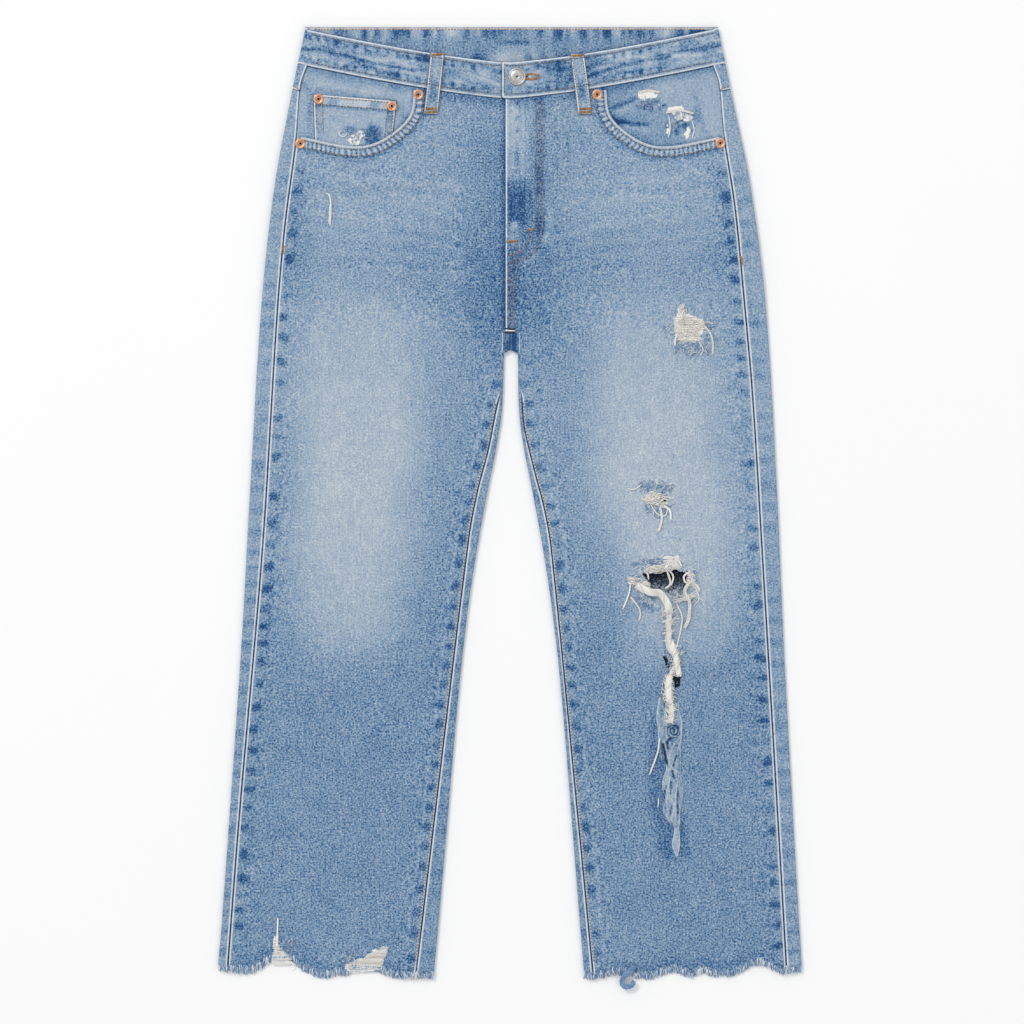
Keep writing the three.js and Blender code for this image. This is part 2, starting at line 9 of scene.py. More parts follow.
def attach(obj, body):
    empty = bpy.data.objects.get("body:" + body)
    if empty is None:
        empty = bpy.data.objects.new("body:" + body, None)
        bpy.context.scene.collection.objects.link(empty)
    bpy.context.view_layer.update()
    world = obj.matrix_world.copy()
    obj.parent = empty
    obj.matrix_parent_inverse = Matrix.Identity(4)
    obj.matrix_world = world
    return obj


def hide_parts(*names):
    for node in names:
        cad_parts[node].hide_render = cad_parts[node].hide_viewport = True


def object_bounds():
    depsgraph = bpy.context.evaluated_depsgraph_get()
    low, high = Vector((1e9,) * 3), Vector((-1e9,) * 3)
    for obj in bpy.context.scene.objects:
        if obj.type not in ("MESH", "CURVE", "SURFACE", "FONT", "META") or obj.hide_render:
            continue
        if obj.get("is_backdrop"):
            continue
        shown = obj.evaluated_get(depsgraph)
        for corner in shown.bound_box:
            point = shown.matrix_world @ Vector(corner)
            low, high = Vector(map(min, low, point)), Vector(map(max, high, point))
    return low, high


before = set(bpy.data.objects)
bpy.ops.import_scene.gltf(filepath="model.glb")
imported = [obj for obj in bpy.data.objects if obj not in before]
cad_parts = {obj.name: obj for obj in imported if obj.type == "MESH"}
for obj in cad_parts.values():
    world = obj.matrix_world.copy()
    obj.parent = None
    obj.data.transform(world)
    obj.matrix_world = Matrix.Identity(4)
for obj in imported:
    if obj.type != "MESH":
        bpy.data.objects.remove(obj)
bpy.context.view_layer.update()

MM = 0.001
RNG = np.random.default_rng(11)
SIDES = {"right": -1, "left": 1}


# ------------------------------------------------------------------ dimensions
# The cloth pieces repeat the dimensions of the CAD model.

WALL = 1.2
GAP = 0.3
FOLD = 5.0
BEND = FOLD / 2
LIFT = WALL + GAP
TOP = LIFT + FOLD
WAIST_Y = 474.0
HEM_Y = -474.0
CROTCH_Y = 149.5
FORK_Y = 168.5
SEAT_LOW_Y = 216.0

BAND_HEIGHT = 37.0
BAND_WALL = 2.0
BAND_DIP = 35.0
BAND_HALF = 212.0
BAND_CORNER_X = 202.0
BAND_UNDER_END_X = 20.0
BAND_OVER_END_X = -8.5
BAND_OVER_RISE = 3.2
BAND_OVER_RAMP = (60.0, 28.0)

FLY_OVER_X = -5.0
FLY_UNDER_X = 1.0
FLY_END_Y = 235.0

BUTTON_X, BUTTON_Y = 7.0, 424.0
BUTTON_CAP = TOP + BAND_OVER_RISE + GAP

# Distance of each line from the centre, as [y, distance] from hem to waist.
LEG_LINES = {
    "right": {
        "side": [(-474, 292), (-148, 269), (12, 260), (192, 249), (312, 236), (405, 219),
                 (474, 204.5)],
        "outseam": [(-474, 283), (-318, 271), (-46, 247.5), (185, 233), (276, 225),
                    (360, 214), (416, 209), (437, 202)],
        "inner": [(-474, 76), (-348, 65), (-188, 51), (-108, 42), (-48, 33), (12, 22),
                  (52, 14), (92, 8), (149.5, 6)],
        "inseam": [(-474, 94), (-318, 75.5), (-36, 41), (12, 32), (50, 22), (88, 14.5),
                   (120, 8), (168.5, 8)],
    },
    "left": {
        "side": [(-474, 292), (-148, 274), (12, 267), (192, 256), (312, 241), (405, 222),
                 (474, 208)],
        "outseam": [(-474, 277), (-318, 268), (-46, 252), (108, 242.5), (214, 233),
                    (294, 225), (372, 213), (418, 208.5), (437, 202)],
        "inner": [(-474, 74), (-348, 64), (-188, 51), (-108, 42), (-48, 33), (12, 22),
                  (52, 14), (92, 9), (149.5, 8)],
        "inseam": [(-474, 83), (-318, 68), (-46, 41), (-6, 34), (32, 24), (80, 13),
                   (122, 8), (168.5, 8)],
    },
}
SCOOP = [(96, 411), (99, 388), (113, 371), (137, 357), (163, 355), (209, 364)]
COIN_POCKET = [(-197, 407.5), (-113, 400.5), (-119, 348), (-195, 348)]
KNEE_RIP = [(130, -71.5), (136, -73), (146, -71), (156.5, -69), (166.5, -68), (174, -71.5),
            (178, -69), (177.5, -81), (174, -91), (165, -96), (154, -90.5), (141, -87.5),
            (137, -79)]
RIVETS = {
    "scoop_right": (-91.5, 406.5, 0), "side_right": (-209.5, 357.5, 0.3),
    "coin_outer": (-191.3, 402, 0), "coin_inner": (-118, 395, 0),
    "scoop_left": (87, 406.5, 0), "side_left": (210, 358, 0.3),
}
YOKE_SEAM = {"centre": 366.0, "side": 413.0, "front": 409.0}

# Lower end of the frayed hem along each leg, as (x, y), read as a wavy line.
HEM_LINE = {
    "right": [(-296, -470), (-284, -471), (-272, -472), (-260, -474), (-250, -469),
              (-241, -463), (-237, -461), (-218, -461), (-208, -470), (-196, -475),
              (-185, -478), (-173, -475), (-163, -474), (-155, -471), (-134, -470.5),
              (-124, -475), (-114, -478), (-96, -478), (-70, -478)],
    "left": [(70, -477.5), (83, -479), (90, -477), (110, -474), (126, -477), (137, -478.5),
             (149, -476), (159, -472.5), (168, -471.5), (176, -476), (183, -477), (193, -472),
             (202, -476), (221, -476), (233, -471.5), (241, -466.5), (249, -464.5),
             (258, -466.5), (271, -473), (289, -471.5), (296, -471)],
}
FRINGE = 6.0                 # how far the threads reach below the woven edge
PANEL_TOP_Y = 403.0          # a leg panel's last row, before it is bent to the waistband
HEM_BEND_Y = -425.0          # rows below this one bend to the wavy hem


# -------------------------------------------------------------------- helpers


def clamp(value):
    return np.minimum(np.maximum(value, 0.0), 1.0)


def ramp(value, start, end):
    """0 at or before start, 1 at or past end, smooth between; end may be the lower one."""
    t = clamp((np.asarray(value, dtype=float) - start) / (end - start))
    return t * t * (3 - 2 * t)


def through(pairs):
    """A smooth function through (position, value) pairs with rising positions."""
    at = np.array([p[0] for p in pairs], dtype=float)
    value = np.array([p[1] for p in pairs], dtype=float)
    before = np.r_[0, 0:len(at) - 1]
    after = np.r_[1:len(at), len(at) - 1]
    slope = (value[after] - value[before]) / (at[after] - at[before])

    def curve(position):
        position = np.asarray(position, dtype=float)
        k = np.clip(np.searchsorted(at, position, side="left") - 1, 0, len(at) - 2)
        span = at[k + 1] - at[k]
        t = (position - at[k]) / span
        s = 1 - t
        return (s * s * (1 + 2 * t) * value[k] + t * t * (3 - 2 * t) * value[k + 1]
                + s * s * t * span * slope[k] - t * t * s * span * slope[k + 1])

    return curve


LATTICE = RNG.random((256, 256)) * 2 - 1


def noise(x, y, size, seed=0):
    """Smooth values from -1 to 1 that change over about `size` millimetres."""
    u = np.asarray(x, dtype=float) / size + 13.7 * seed
    v = np.asarray(y, dtype=float) / size + 41.3 * seed
    i, j = np.floor(u).astype(int), np.floor(v).astype(int)
    fu, fv = u - i, v - j
    fu, fv = fu * fu * (3 - 2 * fu), fv * fv * (3 - 2 * fv)
    a, b = i % 256, j % 256
    c, d = (i + 1) % 256, (j + 1) % 256
    return ((LATTICE[a, b] * (1 - fu) + LATTICE[c, b] * fu) * (1 - fv)
            + (LATTICE[a, d] * (1 - fu) + LATTICE[c, d] * fu) * fv)


def fractal(x, y, size, seed=0):
    return (noise(x, y, size, seed) + 0.5 * noise(x, y, size / 2, seed + 1)
            + 0.25 * noise(x, y, size / 4, seed + 2)) / 1.75


def spline(points, step):
    """A smooth curve through 2-D or 3-D points, resampled every `step` millimetres."""
    points = np.array(points, dtype=float)
    padded = np.vstack([2 * points[0] - points[1], points, 2 * points[-1] - points[-2]])
    out = []
    for k in range(len(points) - 1):
        a, b, c, d = padded[k:k + 4]
        t = np.linspace(0, 1, 12, endpoint=False)[:, None]
        out.append(0.5 * (2 * b + (c - a) * t + (2 * a - 5 * b + 4 * c - d) * t ** 2
                          + (3 * b - a - 3 * c + d) * t ** 3))
    return resample(np.vstack([*out, points[-1:]]), step)


def resample(points, step):
    points = np.array(points, dtype=float)
    length = np.r_[0, np.cumsum(np.linalg.norm(np.diff(points, axis=0), axis=1))]
    count = max(int(round(length[-1] / step)), 1) + 1
    at = np.linspace(0, length[-1], count)
    return np.stack([np.interp(at, length, points[:, k]) for k in range(points.shape[1])], 1)


def near_line(x, y, points):
    """Distance to a polyline, and the way along it to the nearest point, in millimetres."""
    points = np.array(points, dtype=float)[:, :2]
    best = np.full(np.shape(x), 1e9)
    along = np.zeros(np.shape(x))
    done = 0.0
    for (ax, ay), (bx, by) in zip(points[:-1], points[1:]):
        dx, dy = bx - ax, by - ay
        span = math.hypot(dx, dy) or 1e-9
        t = clamp(((x - ax) * dx + (y - ay) * dy) / span ** 2)
        away = np.hypot(x - ax - t * dx, y - ay - t * dy)
        closer = away < best
        best = np.where(closer, away, best)
        along = np.where(closer, done + t * span, along)
        done += span
    return best, along


def inside(x, y, polygon):
    """True where a point is inside the closed polygon."""
    hit = np.zeros(np.shape(x), dtype=bool)
    for (ax, ay), (bx, by) in zip(polygon, [*polygon[1:], polygon[0]]):
        crosses = (ay > y) != (by > y)
        with np.errstate(divide="ignore", invalid="ignore"):
            at = ax + (y - ay) * (bx - ax) / np.where(by == ay, 1e-9, by - ay)
        hit ^= crosses & (x < at)
    return hit


def spot(x, y, cx, cy, rx, ry, soft=0.4):
    """1 in the middle of an oval patch, falling to 0 at its edge."""
    away = np.hypot((x - cx) / rx, (y - cy) / ry)
    return ramp(away, 1 + soft, 1 - soft)


def spread(start, end, step):
    """Values from start to end, about `step` apart."""
    return np.linspace(start, end, max(int(round(abs(end - start) / step)), 1) + 1)


# ------------------------------------------------------------------ mesh makers

CLOTH = []                   # cloth objects that threads and stitches are laid on


def make_mesh(name, vertices, faces, attributes=None):
    """One object from vertices in millimetres. Quads are rows of four, triangles of three."""
    mesh = bpy.data.meshes.new(name)
    mesh.from_pydata((np.asarray(vertices) * MM).tolist(), [], faces)
    for key, values in (attributes or {}).items():
        layer = mesh.attributes.new(key, "FLOAT", "POINT")
        layer.data.foreach_set("value", np.asarray(values, dtype=np.float32))
    mesh.polygons.foreach_set("use_smooth", [True] * len(mesh.polygons))
    mesh.update()
    obj = bpy.data.objects.new(name, mesh)
    bpy.context.scene.collection.objects.link(obj)
    return obj


def signed_volume(points, faces):
    a, b, c = points[faces[:, 0]], points[faces[:, 1]], points[faces[:, 2]]
    d = points[faces[:, 3]]
    return (np.einsum("ij,ij->i", a, np.cross(b, c)).sum()
            + np.einsum("ij,ij->i", a, np.cross(c, d)).sum())


class Walls:
    """Closed cloth walls made from grids, collected into one mesh."""

    def __init__(self, name):
        self.name = name
        self.points = []
        self.faces = []
        self.values = {}
        self.count = 0

    def add(self, top, low, keep=None, **values):
        rows, columns = top.shape[:2]
        if keep is None:
            keep = np.ones((rows - 1, columns - 1), dtype=bool)
        used = np.zeros((rows, columns), dtype=bool)
        for r, c in ((0, 0), (0, 1), (1, 0), (1, 1)):
            used[r:rows - 1 + r, c:columns - 1 + c] |= keep
        number = np.full((rows, columns), -1)
        number[used] = np.arange(used.sum())
        points = np.vstack([top[used], low[used]])
        under = used.sum()
        r, c = np.nonzero(keep)
        quad = np.stack([number[r, c], number[r, c + 1], number[r + 1, c + 1],
                         number[r + 1, c]], 1)
        faces = [quad, quad[:, ::-1] + under]
        fence = np.pad(keep, 1)
        for dr, dc, first, last in ((-1, 0, (0, 0), (0, 1)), (0, 1, (0, 1), (1, 1)),
                                    (1, 0, (1, 1), (1, 0)), (0, -1, (1, 0), (0, 0))):
            edge = keep & ~fence[1 + dr:rows + dr, 1 + dc:columns + dc]
            r, c = np.nonzero(edge)
            a, b = number[r + first[0], c + first[1]], number[r + last[0], c + last[1]]
            faces.append(np.stack([b, a, a + under, b + under], 1))
        faces = np.vstack(faces)
        if signed_volume(points, faces) < 0:
            faces = faces[:, ::-1]
        self.points.append(points)
        self.faces.append(faces + self.count)
        for key in ("tone", "bare", "edge", "inner"):
            value = np.broadcast_to(np.asarray(values.get(key, KEY_DEFAULT[key]),
                                               dtype=float), (rows, columns))
            below = values.get(key + "_low", value)
            below = np.broadcast_to(np.asarray(below, dtype=float), (rows, columns))
            self.values.setdefault(key, []).append(np.r_[value[used], below[used]])
        self.count += len(points)
        return self

    def make(self, drape=True):
        obj = make_mesh(self.name, np.vstack(self.points), np.vstack(self.faces).tolist(),
                        {key: np.concatenate(v) for key, v in self.values.items()})
        if drape:
            CLOTH.append(obj)
        return obj


KEY_DEFAULT = {"tone": 0.5, "bare": 0.0, "edge": 20.0, "inner": 0.0}


def tube_mesh(name, paths, radii, sides=5, attributes=None):
    """One mesh of closed threads. Each path is an n x 3 array, each radius a number or n.

    The attributes are one tone for each path.
    """
    points, faces, tones = [], [], []
    count = 0
    turn = np.linspace(0, 2 * math.pi, sides, endpoint=False)
    for path, radius, *tone in zip(paths, radii, *([attributes] if attributes else [])):
        path = np.asarray(path, dtype=float)
        ahead = np.gradient(path, axis=0)
        ahead /= np.maximum(np.linalg.norm(ahead, axis=1), 1e-6)[:, None]
        across = np.stack([-ahead[:, 1], ahead[:, 0], np.zeros(len(path))], 1)
        size = np.linalg.norm(across, axis=1)
        across = np.where(size[:, None] > 1e-4, across / np.maximum(size, 1e-4)[:, None],
                          [1.0, 0, 0])
        up = np.cross(across, ahead)
        radius = np.broadcast_to(radius, (len(path),))[:, None, None]
        ring = (path[:, None] + radius * (across[:, None] * np.cos(turn)[None, :, None]
                                          - up[:, None] * np.sin(turn)[None, :, None]))
        points.append(ring.reshape(-1, 3))
        for row in range(len(path) - 1):
            low = count + row * sides
            for k in range(sides):
                n = (k + 1) % sides
                faces.append((low + k, low + n, low + sides + n, low + sides + k))
        faces.append(tuple(count + k for k in range(sides))[::-1])
        faces.append(tuple(count + (len(path) - 1) * sides + k for k in range(sides)))
        count += len(path) * sides
        tones.append(np.full(len(path) * sides, tone[0] if tone else 0.5))
    return make_mesh(name, np.vstack(points), faces, {"tone": np.concatenate(tones)})


# ------------------------------------------------------------- shared surfaces


def lift(y):
    return LIFT * ramp(y, CROTCH_Y, SEAT_LOW_Y)


def band_low(x):
    return 402 + BAND_DIP * (np.abs(x) / BAND_HALF) ** 1.3


class Leg:
    def __init__(self, which):
        lines = {key: through(value) for key, value in LEG_LINES[which].items()}
        self.which, self.sign = which, SIDES[which]
        self.side, self.outseam = lines["side"], lines["outseam"]
        self._inner, self._inseam = lines["inner"], lines["inseam"]
        hem = np.array(HEM_LINE[which], dtype=float)
        order = np.argsort(hem[:, 0])
        self.hem_x, self.hem_y = hem[order, 0], hem[order, 1]

    def inner(self, y):
        return np.where(np.asarray(y) <= CROTCH_Y, self._inner(np.minimum(y, CROTCH_Y)), GAP / 2)

    def inseam(self, y):
        return np.maximum(self._inseam(np.minimum(y, FORK_Y)),
                          self._inner(np.minimum(y, CROTCH_Y)) + BEND + 0.8)

    def front_inseam(self, y):
        """Where the front ends: near the crotch it reaches the leg's folded edge."""
        near = ramp(y, 100, 120)
        return self.inseam(y) * (1 - near) + near * np.where(
            np.asarray(y) <= CROTCH_Y, self.inner(y) + 0.4, self._inner(CROTCH_Y) + 0.4)

    def hem(self, x):
        """End of the frayed hem at a signed x."""
        y = np.interp(x, self.hem_x, self.hem_y)
        return y + 0.9 * noise(x, x * 0, 3.1, 31)


LEGS = {which: Leg(which) for which in SIDES}

REST_LOW = WALL + 1.0
SEAM_LOW = FOLD - WALL
SEAM_RUN = 34.0
FACING_LOW = FOLD - 2 * WALL - GAP
COIN_LOW = FACING_LOW + WALL + GAP
ZIP_LOW = WALL + GAP + 1.0 + GAP
FLY_LOW = ZIP_LOW + WALL + GAP
ON_LEG = REST_LOW + WALL + GAP

# Soft folds over the hips and thighs: middle x and y, run, tilt and height.
FOLDS = [(150, 286, 80, 0.16, 0.9), (110, 226, 70, -0.3, 0.8), (170, 60, 60, 0.9, 0.7)]


def soft_folds(x, y):
    height = 0
    for fx, fy, run, tilt, rise in FOLDS:
        along = (x - fx) * math.cos(tilt) + (y - fy) * math.sin(tilt)
        across = (y - fy) * math.cos(tilt) - (x - fx) * math.sin(tilt)
        height = height + rise * np.exp(-((across / 13) ** 2) - (along / run) ** 2)
    return height


def front_low(leg, x, y):
    """Height of the front's lower face, x as distance from the centre, as in the CAD."""
    layer = WALL + GAP
    is_left = leg.sign > 0
    to_seam = np.where(y < FORK_Y, np.minimum(leg.outseam(y) - x, x - leg.inseam(y)),
                       leg.outseam(y) - x)
    seam = (SEAM_LOW - REST_LOW) * ramp(to_seam, SEAM_RUN, 2)
    pocket_run = ramp(y, 297, 319)
    facing = (SEAM_LOW - REST_LOW) * ramp(x, 58, 83) * pocket_run
    over_zip = FLY_LOW - REST_LOW + (layer if is_left else 0)
    below_zip = SEAM_LOW - REST_LOW - (0 if is_left else layer)
    amount = ramp(y, 205, FLY_END_Y)
    fly = (below_zip + (over_zip - below_zip) * amount) * ramp(x, 66, 40) * ramp(y, 120, 158)
    coin = 0 if is_left else (layer * ramp(x, 88, 108) * ramp(x, 208, 200.5) * pocket_run
                              * ramp(y, 393, 373))
    return lift(y) + REST_LOW + np.maximum(seam, np.maximum(facing, fly)) + coin + soft_folds(x, y)


# ---------------------------------------------------------------- front panels

# Worn-through places on the left leg, as ragged outlines in the cloth's plane.
KNEE_HOLES = [
    KNEE_RIP,
    [(172.5, 178), (178.5, 178.2), (178, 175.2), (173, 175)],
    [(182.5, 180), (188.5, 179.6), (188, 176.8), (183.5, 177)],
    [(149.5, 2.5), (156, 1), (155.5, -6.5), (151, -5.5)],
    [(162.5, -175), (170.5, -174.5), (170, -185), (165, -186)],
    [(152.5, -154.5), (156, -154), (160.5, -166), (157, -167)],
]
WHITE_PATCHES = {
    "left": [
        [(164, 184), (172, 188), (193, 183), (195, 172), (188, 160), (172, 159), (165, 166)],
        [(170.5, 199), (178, 182), (166, 180)],
        [(135, 8), (141, 10.5), (154, 7), (158, -2), (155, -8), (146, -4), (137, -1)],
        [(134, -70), (137, -62.5), (148, -65), (158, -64), (160, -70), (148, -72)],
        [(152, -56), (168, -55), (171, -67), (156, -69)],
        [(178, -70), (185, -73), (184, -82), (178, -84)],
        [(128, -80), (138, -80), (144, -88), (154, -91), (150, -95), (134, -90)],
        [(117, -75), (129, -77), (127, -83), (119, -82)],
    ],
    "right": [
        [(-236, -446), (-230, -446), (-219, -458), (-217, -463), (-238, -463)],
        [(-165, -465), (-158, -459), (-145, -456), (-132, -447), (-124, -444), (-123, -450),
         (-130, -469), (-160, -471)],
        [(-235.4, -434), (-231.6, -434), (-230.5, -447), (-236, -447)],
    ],
}
# Raised fluffy blue rims around the rips: middle x and y, radii, strength.
BLUE_FRAY = {
    "left": [(182, 153, 19, 7, 0.8), (147, 14, 17, 7, 0.8), (148, -60, 30, 6, 0.5),
             (138, -97, 14, 10, 0.55), (200, 172, 6, 14, 0.4), (174, -97, 16, 7, 0.5)],
    "right": [(-223, -440, 12, 12, 0.4), (-160, -452, 14, 8, 0.5)],
}

WHISKERS = [
    [(40, 262), (90, 277), (150, 283), (205, 290)],
    [(44, 250), (100, 262), (160, 264), (212, 274)],
    [(50, 236), (100, 246), (150, 250), (190, 256)],
    [(60, 300), (110, 305), (160, 304), (205, 309)],
    [(60, 318), (120, 322), (175, 322)],
    [(36, 232), (74, 226), (120, 232)],
]


PUCKER_PITCH = 20.5


def roping(y, seed):
    """Dark puckers along a seam: 0 between them, 1 in the middle of one."""
    turn = y / PUCKER_PITCH + 0.45 * noise(y, 0 * y + 0.5, 55, seed)
    beat = np.cos(2 * math.pi * turn)
    return ramp(beat, 0.1, 0.85) * (0.45 + 0.55 * ramp(noise(y, 0 * y, 26, seed + 40), -0.4, 0.3))


def rope_spots(y, out, seed, middle=7.5):
    """Round dark spots, one for each pucker beside a seam; out is the distance from it."""
    turn = y / PUCKER_PITCH + 0.45 * noise(y, 0 * y + 0.5, 55, seed)
    up = np.abs(turn - np.round(turn)) * PUCKER_PITCH
    far = np.hypot(up / 4.2, (out - middle) / (5.2 + noise(np.round(turn) * 9, 0 * y, 7, seed)))
    strength = ramp(noise(np.round(turn) * 11, 0 * y, 9, seed + 40), -0.85, -0.1)
    return ramp(far + 0.45 * noise(out, y, 5, seed + 7), 1.3, 0.55) * strength


def wash_front(leg, x, y, start, end):
    """Tone of a front panel: 0 is dark blue, 1 nearly white. x is the distance from the centre."""
    s = leg.sign
    seed = 3 if s < 0 else 9
    tone = 0.375 + 0.09 * ramp(y, -190, 40) + 0.045 * ramp(y, 190, 330)
    if s < 0:
        # painted shadow: the right front is darker beside the left front's fly edge that lies over it
        tone = tone - 0.25 * ramp(x, 11, 6) * ramp(y, 165, 175)
        middle = 152 + 8 * ramp(y, 100, -120)
        half = 84 - 24 * ramp(y, 0, -190)
    else:
        middle = 150 + 20 * ramp(y, 60, -90)
        half = 88 - 28 * ramp(y, 0, -190)
    drift = 10 * fractal(x, y, 60, seed)
    across = ramp(np.abs(x - middle + drift), half * 1.12, half * 0.3)
    along = ramp(y + drift, -190, -118) * ramp(y + 0.6 * drift, 240, 165)
    core = ramp(np.abs(y + 5 + drift), 190, 60)
    tone = tone + across * along * (0.20 + 0.11 * core)
    tone = tone - 0.15 * ramp(x, 188, 222) * ramp(y, 190, 250) * ramp(y, 350, 310)
    # a light hip below the pocket, and the dark run beside the fly and down the inner thigh
    tone = tone + 0.05 * spot(x, y, 140, 300, 62, 34, 0.6)
    tone = tone - 0.17 * ramp(x, 70, 16) * ramp(y, 120, 200) * ramp(y, 420, 330)
    tone = tone - (0.06 if s < 0 else 0.0) * ramp(x - start, 46, 6) * ramp(y, 230, 150) * (
        ramp(y, -260, -60))
    tone = tone - 0.05 * spot(x, y, 55, 235, 60, 42, 0.7)
    for k, line in enumerate(WHISKERS):
        away, _ = near_line(x, y + 3 * noise(x, y, 30, seed + k), line)
        tone = tone + 0.055 * np.exp(-((away / 3.2) ** 2))
        away, _ = near_line(x, y - 7, line)
        tone = tone - 0.035 * np.exp(-((away / 4) ** 2))
    # puckered seams
    out = end - x
    inn = x - start
    rope_out = rope_spots(y, out, seed + 1)
    rope_in = rope_spots(y, inn, seed + 2, 6.0) * ramp(y, 150, 120)
    tone = tone - 0.36 * rope_out * ramp(y, 345, 320) - 0.30 * rope_in
    tone = tone + 0.07 * ramp(out, 12, 3) * (1 - roping(y, seed + 1))
    tone = tone + 0.06 * ramp(inn, 11, 3) * (1 - roping(y, seed + 2)) * ramp(y, 150, 120)
    allowance = inn - 12 - 1.2 * noise(y, 0 * y, 40, seed + 5)
    tone = tone + 0.12 * np.exp(-((allowance / 1.2) ** 2)) * ramp(y, 146, 120)
    tone = tone + 0.035 * fractal(x, y, 16, seed + 20) + 0.03 * fractal(x, y, 45, seed + 30)
    return tone


def fly_wash(x, y, tone):
    """The worn look of the left front over the zip and the fly's stitching; x is signed."""
    beside = ramp(y, 232, 262)
    imprint = ramp(np.abs(x - 6.5), 13, 10) * ramp(y, 318, 326) * ramp(y, 408, 398)
    tone = tone + 0.30 * imprint * (0.7 + 0.3 * np.cos((x - 5.5) * 2 * math.pi / 8.5))
    tone = tone - 0.42 * imprint * ramp(np.abs(x - 5.8 + noise(y, 0 * y, 9, 61)), 1.8, 0.7) * (
        ramp(noise(y, 0 * y, 4, 62), -0.35, 0.15))
    tone = tone - 0.22 * imprint * ramp(np.abs(x - 15.5), 1.8, 0.6) - 0.16 * ramp(
        np.abs(x + 7), 5, 2) * ramp(noise(y, 0 * y, 8, 63), 0.0, 0.4) * ramp(y, 300, 330) * (x < -4)
    dark = spot(x, y + 4 * noise(x, y, 7, 64), 9, 299, 14, 22, 0.5)
    tone = tone - 0.22 * dark - 0.12 * beside * ramp(np.abs(x - 29.8), 4.5, 2)
    tone = tone - 0.10 * ramp(y, 240, 275) * ramp(y, 325, 300) * ramp(np.abs(x - 14), 12, 5)
    hooks = ramp(np.abs(noise(x, y, 8, 65)), 0.12, 0.03) * ramp(np.abs(x - 3), 8, 5)
    tone = tone + 0.35 * hooks * ramp(y, 258, 268) * ramp(y, 318, 300)
    pale = ramp(np.abs(x - 5), 8, 4) * ramp(y, 250, 262) * ramp(y, 283, 268)
    curved, _ = near_line(x, y, [(40, 300), (39, 272), (30, 250), (14, 236)])
    tone = tone + 0.22 * pale + 0.17 * ramp(curved, 3.2, 1)
    bars = ramp(noise(y, 0 * y, 6, 66), 0.0, 0.5) * ramp(np.abs(x - 31), 7, 4)
    tone = tone - 0.18 * bars * ramp(y, 240, 262) + 0.12 * noise(x, y * 0.12, 4, 67) * (
        ramp(x, 26, 20) * ramp(y, 238, 262))
    tone = tone + 0.10 * ramp(np.abs(x - 19), 5, 2) * ramp(y, 250, 280) * ramp(y, 400, 380)
    tone = tone - 0.10 * ramp(np.abs(x), 16, 5) * ramp(y, 255, 236)
    return tone


def snap_to(x, y, outline, reach):
    """Moves grid points that are close to an outline onto it, so that its cut is clean."""
    loop = resample(np.vstack([outline, outline[:1]]), 0.5)
    low, high = loop.min(0) - reach, loop.max(0) + reach
    rows, columns = np.nonzero((x > low[0]) & (x < high[0]) & (y > low[1]) & (y < high[1]))
    for r, c in zip(rows, columns):
        away = np.hypot(loop[:, 0] - x[r, c], loop[:, 1] - y[r, c])
        k = away.argmin()
        if away[k] < reach:
            x[r, c], y[r, c] = loop[k]


def ragged(outline, seed, size=1.2):
    """The same outline with small uneven teeth, as torn cloth has."""
    loop = resample(np.vstack([outline, outline[:1]]), 1.6)[:-1]
    jag = np.random.default_rng(seed).normal(0, size * 0.5, loop.shape)
    return loop + jag


EDGE_STEPS = [0, 0.8, 1.8, 3.0, 4.5, 6.5]
SEAM_BAND = EDGE_STEPS[-1]


def front_rows(which):
    if which == "right":
        return spread(HEM_Y, PANEL_TOP_Y, 2.8)
    dense = [(-190, -150), (-116, -50), (-40, 30), (142, 206)]
    parts, at = [], HEM_Y
    for low, high in dense:
        parts += [spread(at, low, 3.3)[:-1], spread(low, high, 1.6)[:-1]]
        at = high
    return np.concatenate([*parts, spread(at, PANEL_TOP_Y, 3.3)])


def front_fractions(which):
    if which == "right":
        return spread(0, 1, 1 / 74)[1:-1]
    return np.concatenate([spread(0, 0.37, 0.0165)[1:-1], spread(0.37, 0.88, 0.0078)[:-1],
                           spread(0.88, 1, 0.0165)[:-1]])


def scoop_curve(sign):
    return spline([(sign * x, y) for x, y in SCOOP], 1.3)


